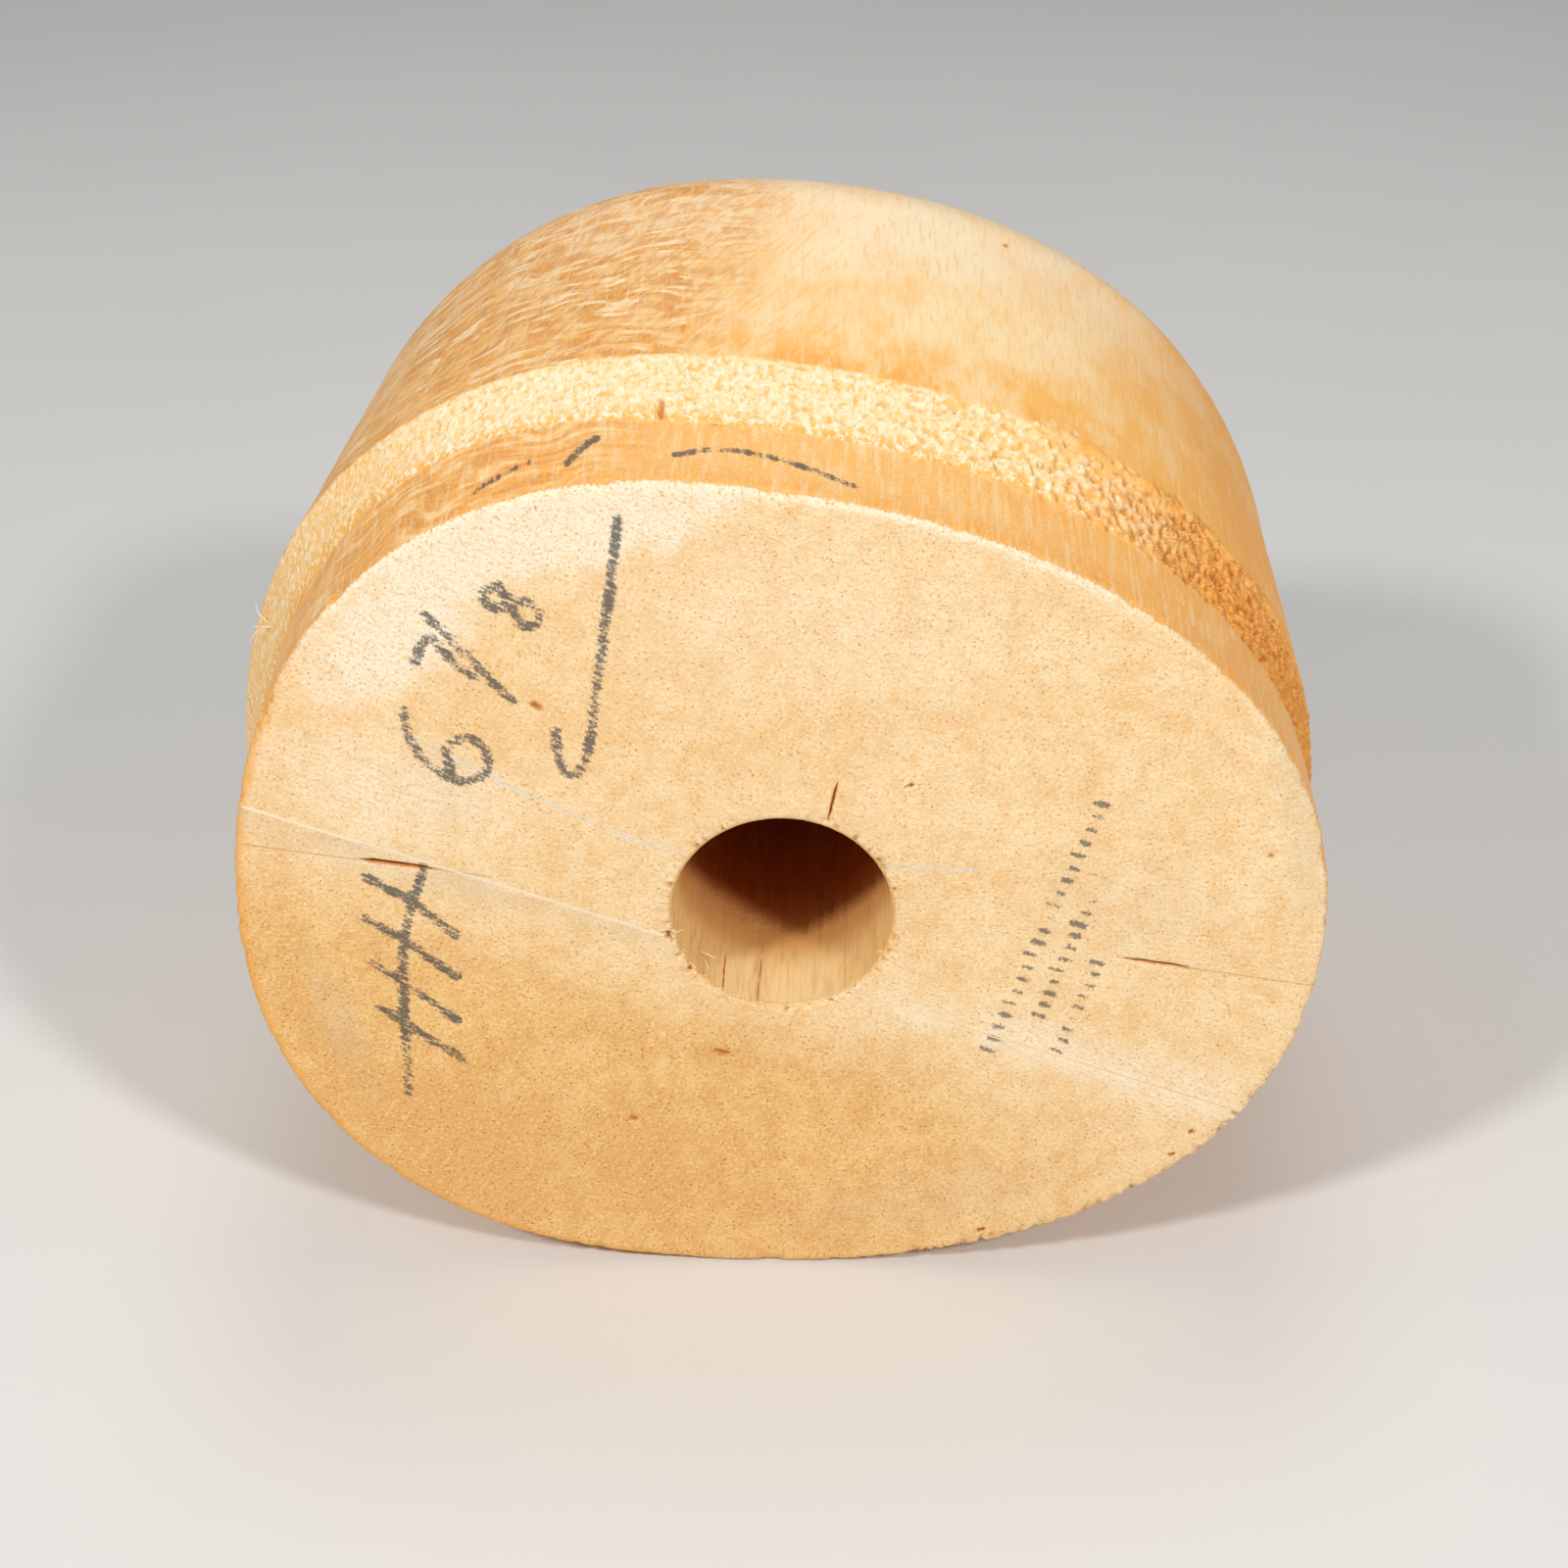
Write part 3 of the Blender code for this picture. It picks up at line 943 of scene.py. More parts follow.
class Paint:
    """A material's node tree, and the few ways in which nodes are added to it."""

    def __init__(self, name):
        old = bpy.data.materials.get(name)
        if old:
            bpy.data.materials.remove(old)
        self.material = bpy.data.materials.new(name)
        self.material.use_nodes = True
        self.tree = self.material.node_tree

    def node(self, kind, settings=None, inputs=None, output=0):
        """Add a node, first with its settings and then with its sockets' values or links."""
        row, column = divmod(len(self.tree.nodes), NODES_PER_ROW)
        node = self.tree.nodes.new("ShaderNode" + kind)
        node.location = (-NODE_WIDTH * column, -NODE_HEIGHT * row)
        for key, value in (settings or {}).items():
            setattr(node, key, value)
        for key, value in (inputs or {}).items():
            self.feed(node, key, value)
        return Value(self, node.outputs[output])

    def feed(self, node, key, value):
        """Link a value to a socket of a node, or set it there where it is the same all over."""
        if isinstance(value, Value):
            self.tree.links.new(value.socket, node.inputs[key])
        else:
            node.inputs[key].default_value = value

    def finish(self, **looks):
        """Feed the material's surface, and give the material."""
        for key, value in looks.items():
            socket = key.replace("_", " ").title()
            self.feed(self.tree.nodes["Principled BSDF"], socket, value)
        return self.material

    def math(self, operation, first, second=0.0):
        return self.node("Math", {"operation": operation}, {0: first, 1: second})

    def mix(self, share, first, second, blend="MIX"):
        """A colour part of the way from one colour to another."""
        settings = {"data_type": "RGBA", "blend_type": blend, "clamp_factor": True}
        colours = {0: share, 6: opaque(first), 7: opaque(second)}
        return self.node("Mix", settings, colours, output=2)

    def coats(self, colour, *layers):
        """A colour with layers over it, each given as its share, its colour and any blend."""
        for share, tone, *blend in layers:
            colour = self.mix(share, colour, tone, *blend)
        return colour

    def stretched(self, vector, size):
        """A place measured in cells of the given size along each axis."""
        inputs = {0: vector, 1: tuple(1.0 / length for length in size)}
        return self.node("VectorMath", {"operation": "MULTIPLY"}, inputs)

    def turned(self, vector, turn):
        """A place turned by three angles, so that what is drawn there runs at a slant."""
        return self.node("Mapping", inputs={"Vector": vector, "Rotation": turn})

    def noise(self, vector, size, detail=2.0, roughness=0.5, output="Fac"):
        inputs = {"Vector": self.stretched(vector, size), "Scale": 1.0, "Detail": detail}
        inputs["Roughness"] = roughness
        return self.node("TexNoise", {}, inputs, output)

    def cells(self, vector, size):
        inputs = {"Vector": self.stretched(vector, size), "Scale": 1.0}
        return self.node("TexVoronoi", {}, inputs, "Distance")

    def ruled(self, x, z, lines, width):
        """Straight lines across the base, from 0 beside them to 1 along their middles."""
        drawn = []
        for first, last in lines:
            start = Vector(first)
            along = Vector(last) - start
            length = along.length
            along /= length
            share = (x - start.x) * along.x + (z - start.y) * along.y
            beside = (x - start.x) * along.y - (z - start.y) * along.x
            ends = share.rise(-1.0, 0.5) * share.rise(length + 1.0, length - 0.5)
            drawn.append(beside.size().rise(width, 0.3 * width) * ends)
        return sum(drawn)

    def layer(self, name):
        return self.node("Attribute", {"attribute_name": name}, output="Fac")


def opaque(colour):
    """A colour with its alpha, or a link as it is."""
    return colour if isinstance(colour, Value) else (*tuple(colour)[:3], 1.0)


def block_place(paint, form):
    """The place on the surface in the block's own frame, in millimetres."""
    back = resting_place(form).inverted()
    inputs = {
        "Vector": paint.node("TexCoord", output="Object"),
        "Location": back.to_translation() / MM,
        "Rotation": back.to_euler(),
        "Scale": (1.0 / MM,) * 3,
    }
    return paint.node("Mapping", inputs=inputs)


def wood_grain(paint, place, ray_turn):
    """The grain of one billet, solid through it: fibres run in from the base, rays across."""
    x, depth, z = place.parts()
    around = paint.math("ARCTAN2", x, z) * MEAN_RADIUS
    skin = paint.node("CombineXYZ", inputs={0: around, 1: depth})
    sway = paint.noise(place, (17.0, 20.0, 17.0), 1.0, 0.5, "Color")
    push = {"operation": "MULTIPLY_ADD"}
    swirled = paint.node("VectorMath", push, {0: sway, 1: (14.0, 15.0, 0.0), 2: skin})
    bent = paint.node("VectorMath", push, {0: sway, 1: (6.0, 2.0, 6.0), 2: place})
    sawn = paint.turned(bent, (0.0, -ray_turn, 0.0))
    facing = (z * cos(ray_turn) - x * sin(ray_turn)) / MEAN_RADIUS
    slanted = paint.turned(skin, (0.0, 0.0, radians(-64.0)))
    blotch = paint.noise(place, (4.5, 11.0, 4.5), 4.0, 0.6)
    return SimpleNamespace(
        place=place, x=x, depth=depth, z=z,
        joint=x * sin(-JOINT_SLOPE) + z * cos(-JOINT_SLOPE) + JOINT_DROP / MM,
        fine=paint.noise(place, (0.75, 13.0, 0.75), 3.0, 0.65),
        scratch=paint.noise(slanted, (8.0, 0.8, 1.0), 2.0, 0.6),
        dash=paint.noise(slanted, (4.4, 1.2, 1.0), 3.0, 0.62),
        rays=paint.noise(swirled, (9.0, 2.1, 1.0), 3.0, 0.60),
        fuzz=paint.noise(place, (0.62, 0.62, 0.62), 3.0, 0.75),
        saw=paint.noise(paint.turned(place, (0.0, radians(-28.0), 0.0)), (3.0, 40.0, 0.62), 2.0),
        rub=paint.noise(paint.turned(place, (0.0, radians(57.0), 0.0)), (7.0, 40.0, 0.5), 3.0),
        pore=paint.cells(sawn, (1.0, 9.0, 0.85)),
        patch=paint.noise(place, (15.0, 26.0, 15.0), 4.0, 0.6).rise(0.38, 0.62),
        blotch=blotch,
        spots=blotch.rise(0.40, 0.64),
        streak=paint.noise(sawn, (5.0, 42.0, 3.0), 3.0, 0.62),
        quarter=facing.size().rise(0.87, 1.0),
    )


def end_finish(paint, grain, colours):
    """The end grain of the base and the tip, more golden away from the joint below it."""
    patch = grain.patch * 0.50 + grain.blotch.rise(0.46, 0.58) * 0.50
    below = grain.joint * -1.0
    golden = below.rise(1.0, 24.0) * (1.0 - grain.x.rise(8.0, 70.0) * 0.75)
    pale = paint.mix(golden, colours.end_grain, colours.low_grain)
    deep = paint.mix(golden, colours.end_gold, colours.low_gold)
    light = paint.mix(0.35, pale, colours.rubbed_and_highlight)
    dots = grain.pore.rise(0.28, 0.13) * (0.45 + grain.streak.rise(0.35, 0.60) * 0.55)
    return paint.coats(
        pale,
        ((patch + paint.layer("amber") * 0.75).clamped(), deep),
        # The pale layer: rubbed patches, and the painted highlight along the top of the rim.
        (paint.layer("pale") * 0.9, colours.rubbed_and_highlight),
        (grain.fuzz.rise(0.49, 0.62) * 0.75, deep),
        (grain.fuzz.rise(0.49, 0.36) * 0.8, light),
        (grain.saw.rise(0.50, 0.66) * 0.4, deep),
        (grain.rub.rise(0.54, 0.72) * 0.4, light),
        (dots * (0.75 + golden * 0.25), colours.pore, "MULTIPLY"),
        (paint.layer("rim") * 0.7, colours.collar_edge),
        (paint.layer("grime") * 0.4, colours.grime),
    )


def crown_finish(paint, grain, colours):
    """The sanded crown, darker where it was handled and rayed where its grain faces out."""
    right = (grain.x * 0.9 - grain.z * 0.35).rise(0.0, 66.0)
    left = grain.x.rise(-40.0, -80.0)
    slant = grain.x.rise(25.0, -10.0)
    handled = grain.depth.rise(64.0, 35.0) * (0.35 + grain.spots * 0.55)
    deep = grain.patch * 0.50 + grain.spots * 0.15 + handled + right * 0.7 + left * 0.4
    burnt = grain.depth.rise(43.0, 36.0) * grain.blotch.rise(0.50, 0.62) * 0.7
    burnt = burnt + right * right * (0.40 + grain.patch * 0.4)
    brown = grain.quarter * (0.30 + grain.patch * 0.30 + grain.spots * 0.20)
    mottled = grain.quarter * (grain.blotch * 0.7 + grain.dash * 0.3).rise(0.47, 0.57)
    rayed = grain.quarter * (0.45 + grain.patch * 0.55)
    bundles = grain.rays.rise(0.53, 0.60) * grain.blotch.rise(0.40, 0.56)
    return paint.coats(
        colours.crown_pale,
        (deep.clamped(), colours.crown_gold),
        (burnt.clamped(), colours.burnt),
        (grain.depth.rise(60.0, 100.0) * (1.0 - right) * 0.4, colours.rubbed_and_highlight),
        (brown, colours.quarter_wood),
        (mottled * 0.45, colours.streak),
        (grain.rays.rise(0.49, 0.41) * rayed * 0.8, colours.streak),
        (grain.dash.rise(0.51, 0.60) * rayed * 0.8, colours.streak),
        (bundles * (rayed + grain.quarter * 0.3).clamped(), colours.ray),
        (grain.scratch.rise(0.50, 0.66) * slant * 0.6, colours.crown_gold),
        (grain.scratch.rise(0.48, 0.34) * slant * 0.45, colours.crown_pale),
    )


def collar_finish(paint, grain, colours):
    """The orange collar, deepest along its ragged edge beside the rim."""
    fringe = paint.noise(grain.place, (1.3, 16.0, 1.3), 3.0, 0.6)
    edge = (grain.depth + (fringe - 0.5) * 16.0).rise(10.0, 1.0) * (0.55 + grain.spots * 0.45)
    return paint.coats(
        colours.collar,
        (grain.spots * 0.6, colours.crown_gold),
        (grain.x.rise(10.0, -60.0) * 0.45, colours.quarter_wood),
        (edge, colours.collar_edge),
        (grain.quarter * (0.3 + grain.patch * 0.4), colours.quarter_wood),
        (grain.rays.rise(0.50, 0.40) * grain.quarter * 0.75, colours.streak),
        (grain.rays.rise(0.52, 0.62) * grain.quarter * 0.7, colours.crown_pale),
        (grain.x.rise(20.0, 75.0) * 0.5, colours.burnt),
        (grain.fuzz.rise(0.50, 0.62) * 0.5, colours.burnt),
        (grain.fuzz.rise(0.48, 0.36) * 0.4, colours.crown_pale),
        (fringe.rise(0.50, 0.66) * 0.4, colours.burnt),
        (fringe.rise(0.48, 0.34) * 0.35, colours.crown_pale),
    )


def side_finish(paint, grain, colours):
    """The sanded sides: crown and collar, and the fibres that run along both."""
    return paint.coats(
        crown_finish(paint, grain, colours),
        (1.0 - grain.depth.rise(32.5, 35.0), collar_finish(paint, grain, colours)),
        (grain.fine.rise(0.50, 0.70) * 0.55, colours.crown_gold),
        (grain.fine.rise(0.47, 0.30) * 0.4, colours.crown_pale),
        (grain.pore.rise(0.16, 0.06) * 0.15, colours.streak),
    )


def torn_finish(paint, grain, lumps, colours):
    """The torn band: nearly white tips, gold between its lumps, and brown in its pits and hollows,
    partly the torn wood's colour and partly painted shade.
    """
    aside = grain.x * 0.9 - grain.z * 0.75
    ochre = aside.rise(-20.0, 26.0)
    left = (grain.x + grain.z * 0.35).rise(-22.0, -52.0) * 0.5
    fringe = grain.depth.rise(25.6, 22.4)
    dashes = paint.noise(grain.place, (0.9, 2.6, 0.9), 2.0, 0.6)
    gold = ochre * 0.9 + left + fringe * lumps.rise(0.42, 0.54)
    tips = lumps.rise(0.54, 0.38) * (0.85 - ochre * 0.75 - left * 0.6)
    upper = grain.depth.rise(29.0, 35.5) * aside.rise(-24.0, 4.0)
    # Deep brown for the pits and the hollows of the bumped lumps: partly the wood's colour, partly
    # painted shade.
    deep = paint.mix(ochre, colours.torn_gold, colours.torn_pit_and_shade)
    return paint.coats(
        colours.torn,
        (gold.clamped(), colours.torn_gold),
        (aside.rise(4.0, 36.0), colours.burnt),
        (tips, colours.torn_white),
        (dashes.rise(0.54, 0.66) * 0.7, colours.torn_gold),
        (upper * 0.75, colours.crown_gold),
        # Painted shade, in part: the pits and the hollows between the bumped lumps are darkened.
        (paint.layer("pit") * 0.9, deep),
        (lumps.rise(0.57, 0.68) * 0.7, deep),
    )


def bore_finish(paint, grain, colours):
    """The wall of the bore: pale at its mouth, then painted half shade and painted shade deeper in,
    with streaks along it.
    """
    grooves = grain.fine.rise(0.50, 0.66) * 0.28 + grain.streak.rise(0.50, 0.64) * 0.25
    return paint.coats(
        colours.bore,
        (grain.x.size().rise(6.0, 17.0) * 0.35, colours.crown_gold),
        # Painted shade: the wall of the bore darkens with depth, first to a half shade, then to deep
        # shade.
        (grain.depth.rise(9.0, 20.0), colours.bore_painted_half_shade),
        (grain.depth.rise(14.0, 38.0), colours.bore_painted_shade),
        (grooves, colours.bore_dark),
    )


def marked(paint, grain, colour, colours):
    """The wood's colour with glue, chalk, scribed lines, ink, crayon and checks over it."""
    hatch = grain.saw - 0.5
    tooth = paint.noise(grain.place, (0.55, 0.55, 0.55), 2.0, 0.7) - 0.5
    press = paint.noise(grain.place, (7.0, 7.0, 7.0), 2.0, 0.5) - 0.5
    base = grain.depth.rise(1.6, 0.6)

    dull = grain.joint.rise(-6.5, -0.5) * grain.joint.rise(0.8, 0.0) * grain.x.rise(6.0, -12.0)
    smear = grain.joint.rise(-7.0, -0.5) * grain.joint.rise(2.0, 0.2)
    smear = smear * (0.25 + press * 1.2 + tooth * 0.8)
    ridge = grain.joint.size().rise(0.65, 0.2) * grain.x.rise(8.0, -6.0)
    chalk = paint.ruled(grain.x, grain.z, CHALK_LINES, 0.60)
    chalk = chalk * (tooth * 2.5 + hatch + 0.30 + press).clamped()
    scribe = paint.ruled(grain.x, grain.z, SCRIBED_LINES, 0.24)

    far = paint.layer("ink")
    ink = 0.55 - far * 0.9 + tooth * 1.5 + press * 1.8
    far = paint.layer("crayon")
    body = 0.70 - far * far * 0.55 + press * 1.3
    crayon = (body + hatch * 2.2 + tooth * 2.0).rise(0.10, 0.75) * far.rise(1.7, 0.8)
    split = paint.layer("check")
    colour = paint.coats(
        colour,
        ((dull * base * (0.16 + press)).clamped(), colours.grime),
        ((smear * base * grain.x.rise(2.0, 24.0)).clamped(), colours.rubbed_and_highlight),
        (ridge * base * 0.3, colours.rubbed_and_highlight),
        ((chalk * base).clamped(), colours.chalk),
        ((scribe * base * 0.3).clamped(), colours.check),
        (ink.rise(0.05, 0.36) * 0.75, colours.crayon),
        (crayon * 0.85, colours.crayon),
        (split.rise(0.0, 0.55) * 0.9, colours.rust),
        (split.rise(0.45, 1.0), colours.check),
    )
    return colour, crayon


def wood_finish(name, form, colours, ray_turn):
    """The finish of one billet: end grain on the base, then collar, torn band and crown."""
    paint = Paint(name)
    grain = wood_grain(paint, block_place(paint, form), ray_turn)
    torn = paint.layer("torn")
    hollow = paint.layer("hollow")
    lumps = paint.noise(grain.place, (1.0, 1.6, 1.0), 3.0, 0.68)
    ragged = grain.depth + (grain.fuzz - 0.5) * 1.6
    base = ragged.rise(0.95, 0.35) * (1.0 - hollow)
    tip = grain.depth.rise(104.0, 142.0)

    colour = paint.coats(
        side_finish(paint, grain, colours),
        (torn, torn_finish(paint, grain, lumps, colours)),
        (base + tip * 0.85, end_finish(paint, grain, colours)),
        (hollow, bore_finish(paint, grain, colours)),
    )
    colour, crayon = marked(paint, grain, colour, colours)

    relief = grain.fine * 0.5 + grain.fuzz * base + grain.scratch * 0.4
    smooth = {"Height": relief, "Strength": 0.8, "Distance": 0.0004}
    rough = {"Height": 1.0 - lumps, "Strength": torn * (0.85 - grain.x.rise(0.0, 50.0) * 0.45)}
    rough["Distance"] = 0.0006
    rough["Normal"] = paint.node("Bump", inputs=smooth)
    return paint.finish(
        base_color=colour,
        roughness=0.55 + torn * 0.3 + base * 0.15 - crayon * 0.1,
        normal=paint.node("Bump", inputs=rough),
    )


def fibre_finish(colours):
    """Loose fibres: pale, a little golden towards some of their ends."""
    paint = Paint("loose_fibre")
    place = paint.node("TexCoord", output="Object")
    right = place.parts()[0].rise(0.02, 0.06)
    patch = paint.noise(place, (0.006, 0.006, 0.006), 2.0)
    colour = paint.coats(
        colours.torn_white,
        (right, colours.torn_gold),
        (patch.rise(0.45, 0.70) * (1.0 - right), colours.torn),
    )
    return paint.finish(base_color=colour, roughness=0.7)


def glue_finish(form, colours):
    """Old glue: dried pale along the left of the base, browner on its right and inside, with painted
    shade deeper in the bore.
    """
    paint = Paint("dried_glue")
    x, depth = block_place(paint, form).parts()[:2]
    aged = (0.35 + x.rise(2.0, 18.0) * 0.3 + depth.rise(0.8, 2.5)).clamped()
    # Painted shade: deeper in the bore the glue darkens as the bore's wall does.
    inside = depth.rise(8.0, 36.0)
    colour = paint.coats(colours.rubbed_and_highlight, (aged, colours.collar), (inside, colours.bore_painted_shade))
    return paint.finish(base_color=colour, roughness=0.5)


def matt_floor(colour):
    """A plain pale floor with the faintest unevenness."""
    paint = Paint("pale_floor")
    place = paint.node("TexCoord", output="Object")
    patch = paint.noise(place, (0.35, 0.35, 0.35), 4.0, 0.55)
    darker = tuple(0.97 * part for part in colour)
    return paint.finish(
        base_color=paint.mix(patch.rise(0.35, 0.65), colour, darker),
        roughness=0.85,
    )


def length_property(name, description, default):
    return FloatProperty(
        name=name, description=description, default=default, min=0.0, unit="LENGTH",
        subtype="DISTANCE",
    )


def colour_property(name, description, default):
    return FloatVectorProperty(
        name=name, description=description, default=default, min=0.0, max=1.0,
        subtype="COLOR", size=3,
    )


class HatBlockForm(bpy.types.PropertyGroup):
    """Sizes of the block."""

    collar_height: length_property(
        "Collar Height", "Depth of the collar, in from the base", COLLAR_HEIGHT)
    band_height: length_property("Band Height", "Depth of the flaring torn band", BAND_HEIGHT)
    crown_height: length_property(
        "Crown Height", "Depth of the straight part of the crown", CROWN_HEIGHT)
    shoulder_radius: length_property(
        "Shoulder Radius", "Radius that rounds the crown over", SHOULDER_RADIUS)
    bore_diameter: length_property("Bore Diameter", "Width of the post's bore", BORE_DIAMETER)
    bore_depth: length_property("Bore Depth", "Depth of the post's bore", BORE_DEPTH)


class HatBlockColours(bpy.types.PropertyGroup):
    """Colours of the wood and of what is on it."""

    end_grain: colour_property("End Grain", "Pale end grain of the base", (0.94, 0.71, 0.41))
    end_gold: colour_property("Golden End Grain", "Deeper patches", (0.86, 0.54, 0.23))
    low_grain: colour_property("Lower End Grain", "Lower billet's base", (0.89, 0.56, 0.205))
    low_gold: colour_property("Lower Patches", "Lower billet's patches", (0.76, 0.40, 0.11))
    # Also the colour of the painted highlight along the top of the rim.
    rubbed_and_highlight: colour_property("Rubbed Grain", "Whitened, rubbed patches", (0.96, 0.86, 0.68))
    pore: colour_property("Pores", "Tint of the end grain's open pores", (0.68, 0.42, 0.19))
    collar: colour_property("Collar", "Side of the collar", (0.90, 0.54, 0.19))
    collar_edge: colour_property("Collar Edge", "Collar beside the rim", (0.86, 0.38, 0.06))
    crown_pale: colour_property("Crown", "Sanded side of the crown", (0.96, 0.74, 0.42))
    crown_gold: colour_property("Handled Crown", "Handled, darker wood", (0.96, 0.50, 0.12))
    burnt: colour_property("Orange Spots", "Deep orange wood", (0.93, 0.38, 0.055))
    quarter_wood: colour_property("Rayed Wood", "Wood sawn along its rays", (0.82, 0.38, 0.085))
    ray: colour_property("Rays", "Pale flecks across the grain", (0.98, 0.76, 0.47))
    streak: colour_property("Streaks", "Darker fibres of the sides", (0.66, 0.25, 0.04))
    torn: colour_property("Torn Grain", "Pale torn fibres", (0.92, 0.73, 0.43))
    torn_white: colour_property("Torn Tips", "Whitest torn fibres", (0.97, 0.87, 0.67))
    torn_gold: colour_property("Golden Torn Grain", "Darker torn fibres", (0.90, 0.47, 0.10))
    # Partly the torn wood's colour, partly painted shade in the pits and hollows.
    torn_pit_and_shade: colour_property("Pits", "Bottom of the torn pits", (0.52, 0.16, 0.018))
    bore: colour_property("Bore", "Mouth of the bore", (1.00, 0.74, 0.355))
    # Painted shade inside the bore: a half shade past the mouth and deep shade further in.
    bore_painted_half_shade: colour_property("Middle of Bore", "Wall past the mouth", (0.80, 0.45, 0.15))
    bore_painted_shade: colour_property("Inside of Bore", "Wall further in", (0.45, 0.115, 0.015))
    bore_dark: colour_property("Bore Streaks", "Darker fibres in the bore", (0.60, 0.24, 0.06))
    check: colour_property("Checks", "Inside of splits and chips", (0.16, 0.050, 0.012))
    rust: colour_property("Rusty Spots", "Shallow splits and spots", (0.60, 0.20, 0.02))
    grime: colour_property("Grime", "Greyish smudges", (0.60, 0.50, 0.36))
    chalk: colour_property("Chalk", "Bluish chalk", (0.62, 0.66, 0.70))
    crayon: colour_property("Crayon", "Grey wax crayon", (0.052, 0.052, 0.058))


class HatBlockStage(bpy.types.PropertyGroup):
    """Camera, lamps and floor."""

    pitch: FloatProperty(
        name="Pitch", description="How far the camera looks down", default=radians(28.7),
        subtype="ANGLE")
    azimuth: FloatProperty(
        name="Azimuth", description="How far the camera stands to the right",
        default=radians(1.25), subtype="ANGLE")
    distance: length_property(
        "Distance", "From the camera to the bore's mouth, along its view", 0.4685)
    lens: FloatProperty(
        name="Lens", description="Focal length in millimetres on a 36 mm sensor", default=63.0)
    floor_colour: colour_property("Floor", "Plain pale floor", (0.74, 0.73, 0.71))
    lamp_power: FloatProperty(
        name="Lamps", description="Power of each soft lamp", default=11.3, unit="POWER")
    fill: FloatProperty(name="Fill", description="Strength of the sky's fill", default=0.30)


class HATBLOCK_OT_billets(bpy.types.Operator):
    """Build the two glued billets of the block, with their weathered wood"""

    bl_idname = "hat_block.billets"
    bl_label = "Build Billets"
    bl_options = {"REGISTER", "UNDO"}

    def execute(self, context):
        form = context.scene.hat_block_form
        colours = context.scene.hat_block_colours
        skin = worn_skin(form)
        for billet in BILLETS:
            bm = bmesh.new()
            bm.from_mesh(skin)
            slice_skin(bm, form, billet.side * 0.5 * GLUE_GAP, billet.side > 0)
            slot = billet.name + "_wood"
            wood = wood_finish(slot + "_worn", form, colours, billet.ray_turn)
            finish_piece(billet.name + "_worn", bm, wood, billet.name)
        return {"FINISHED"}


class HATBLOCK_OT_glue_film(bpy.types.Operator):
    """Build the film of glue between the billets, proud on the left and shrunk on the right"""

    bl_idname = "hat_block.glue_film"
    bl_label = "Build Glue Film"
    bl_options = {"REGISTER", "UNDO"}

    def execute(self, context):
        form = context.scene.hat_block_form
        bm = bmesh.new()
        bm.from_mesh(bpy.data.meshes.get(SKIN_NAME) or worn_skin(form))
        half = 0.5 * GLUE_GAP - GLUE_CLEARANCE
        slice_skin(bm, form, half, False)
        slice_skin(bm, form, -half, True)
        for vert in bm.verts:
            if vert.co.y < CAD_BOX[0].y + GLUE_EDGE:
                proud = GLUE_PROUD[0] if vert.co.x < 0.0 else GLUE_PROUD[1]
                vert.co.y -= proud + GLUE_RIPPLE * wave(vert.co, GLUE_RIPPLE_LENGTH)
            else:
                vert.co.x *= 1.0 - GLUE_SHRINKAGE
        finish_piece("glue_film", bm, glue_finish(form, context.scene.hat_block_colours))
        return {"FINISHED"}


class HATBLOCK_OT_fibres(bpy.types.Operator):
    """Build the loose fibres on the torn band, on the lip of the bore and on the base"""

    bl_idname = "hat_block.fibres"
    bl_label = "Build Fibres"
    bl_options = {"REGISTER", "UNDO"}

    def execute(self, context):
        form = context.scene.hat_block_form
        dice = Random(FIBRE_SEED)
        paths = [([Vector(p) * MM for p in f.points], f.width * MM) for f in FIBRES]
        paths += fuzz_paths(form, dice) + lip_paths(form, dice)
        bm = bmesh.new()
        for points, width in paths:
            fibre(bm, points, width)
        bm.transform(resting_place(form))
        finish_piece("torn_fibres", bm, fibre_finish(context.scene.hat_block_colours))
        return {"FINISHED"}


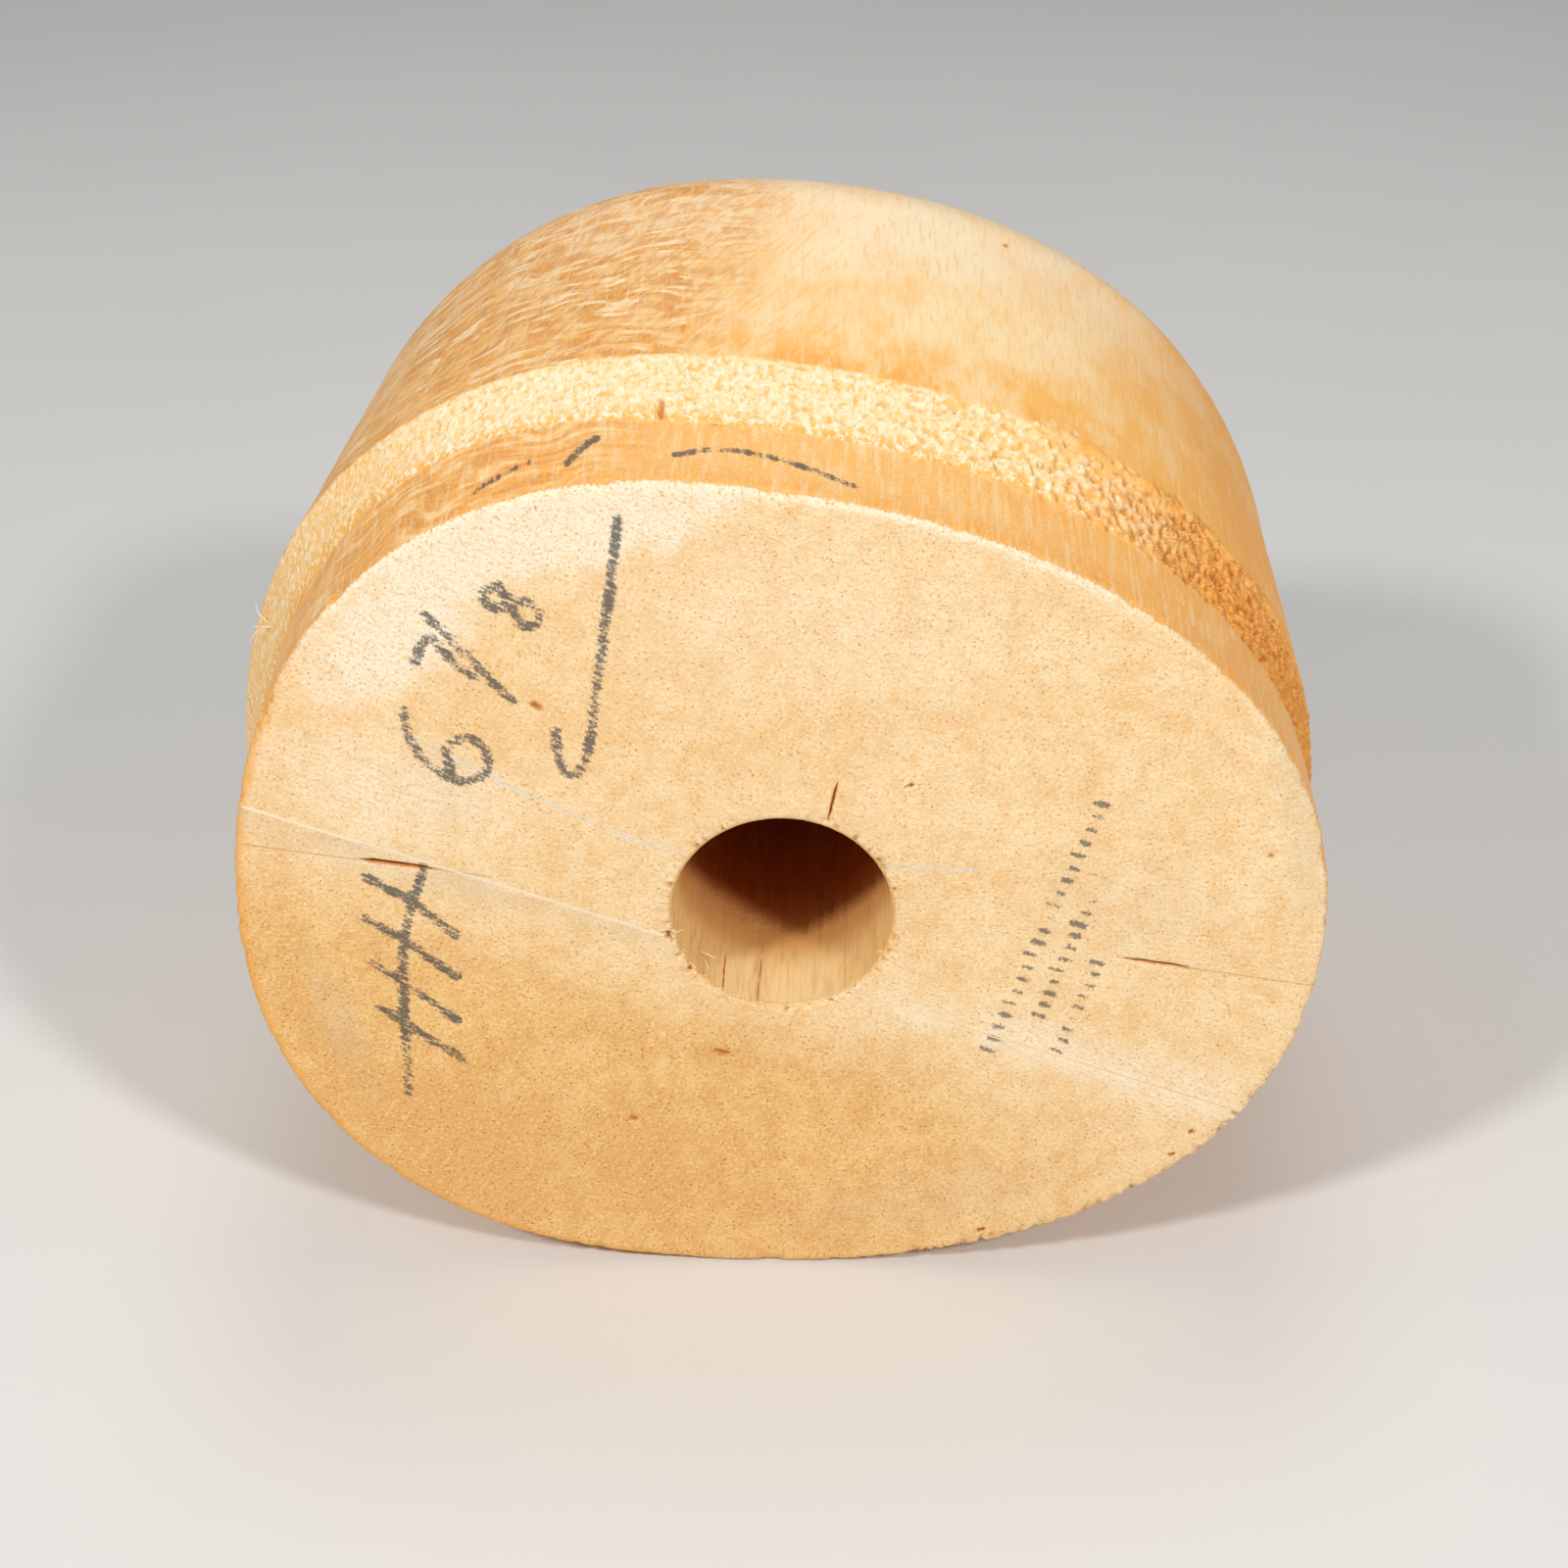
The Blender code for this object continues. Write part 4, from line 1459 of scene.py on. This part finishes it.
class HATBLOCK_OT_stage(bpy.types.Operator):
    """Set the pale floor, the soft lamps and the camera"""

    bl_idname = "hat_block.stage"
    bl_label = "Set Stage"
    bl_options = {"REGISTER", "UNDO"}

    def execute(self, context):
        scene = context.scene
        stage = scene.hat_block_stage
        self.add_floor(stage)
        for lamp in LAMPS:
            self.add_lamp(stage, lamp)
        scene.camera = self.add_camera(stage, resting_place(scene.hat_block_form))
        scene.world = scene.world or bpy.data.worlds.new("soft_sky")
        scene.world.use_nodes = True
        sky = scene.world.node_tree.nodes["Background"]
        sky.inputs["Color"].default_value = (1.0, 1.0, 1.0, 1.0)
        sky.inputs["Strength"].default_value = stage.fill
        scene.view_settings.view_transform = "Standard"
        return {"FINISHED"}

    def add_floor(self, stage):
        bm = bmesh.new()
        bmesh.ops.create_grid(bm, x_segments=1, y_segments=1, size=FLOOR_REACH)
        mesh = mesh_from("floor", bm)
        mesh.materials.append(matt_floor(tuple(stage.floor_colour)))
        floor = add_object("floor", mesh)

    def add_lamp(self, stage, lamp):
        light = bpy.data.lights.new(lamp.name, "AREA")
        light.shape = "DISK"
        light.size = lamp.width
        light.energy = stage.lamp_power * lamp.share
        thing = add_object(lamp.name, light)
        thing.location = lamp.place
        aim = Vector(LAMP_TARGET) - Vector(lamp.place)
        thing.rotation_euler = aim.to_track_quat("-Z", "Y").to_euler()

    def add_camera(self, stage, place):
        """A camera that sees the bore's mouth where the picture has it."""
        data = bpy.data.cameras.new("camera")
        data.lens = stage.lens
        data.sensor_width = SENSOR_WIDTH
        ahead = Vector((
            -sin(stage.azimuth) * cos(stage.pitch),
            cos(stage.azimuth) * cos(stage.pitch),
            -sin(stage.pitch),
        ))
        right = Vector((cos(stage.azimuth), sin(stage.azimuth), 0.0))
        down = ahead.cross(right)
        across, under = BORE_IN_PICTURE
        spread = stage.distance * SENSOR_WIDTH / stage.lens
        aside = right * (across * spread) + down * (under * spread)
        camera = add_object("camera", data)
        camera.location = place.to_translation() - ahead * stage.distance - aside
        camera.rotation_euler = ahead.to_track_quat("-Z", "Y").to_euler()
        return camera


class HATBLOCK_PT_panel(bpy.types.Panel):
    """Buttons that build each part of the block"""

    bl_idname = "HATBLOCK_PT_panel"
    bl_label = "Hat Block"
    bl_space_type = "VIEW_3D"
    bl_region_type = "UI"
    bl_category = "Hat Block"

    def draw(self, context):
        column = self.layout.column()
        for group, _ in GROUPS:
            values = getattr(context.scene, group)
            for name in values.__annotations__:
                column.prop(values, name)
        for operator in OPERATORS:
            column.operator(operator.bl_idname)


GROUPS = (
    ("hat_block_form", HatBlockForm),
    ("hat_block_colours", HatBlockColours),
    ("hat_block_stage", HatBlockStage),
)
OPERATORS = (
    HATBLOCK_OT_billets,
    HATBLOCK_OT_glue_film,
    HATBLOCK_OT_fibres,
    HATBLOCK_OT_stage,
)


def register():
    for name, group in GROUPS:
        bpy.utils.register_class(group)
        setattr(bpy.types.Scene, name, PointerProperty(type=group))
    for operator in OPERATORS:
        bpy.utils.register_class(operator)
    bpy.utils.register_class(HATBLOCK_PT_panel)


def unregister():
    bpy.utils.unregister_class(HATBLOCK_PT_panel)
    for operator in reversed(OPERATORS):
        bpy.utils.unregister_class(operator)
    for name, group in reversed(GROUPS):
        delattr(bpy.types.Scene, name)
        bpy.utils.unregister_class(group)


def main():
    register()
    bpy.ops.hat_block.billets()
    bpy.ops.hat_block.glue_film()
    bpy.ops.hat_block.fibres()
    bpy.ops.hat_block.stage()


if __name__ == "__main__":
    main()
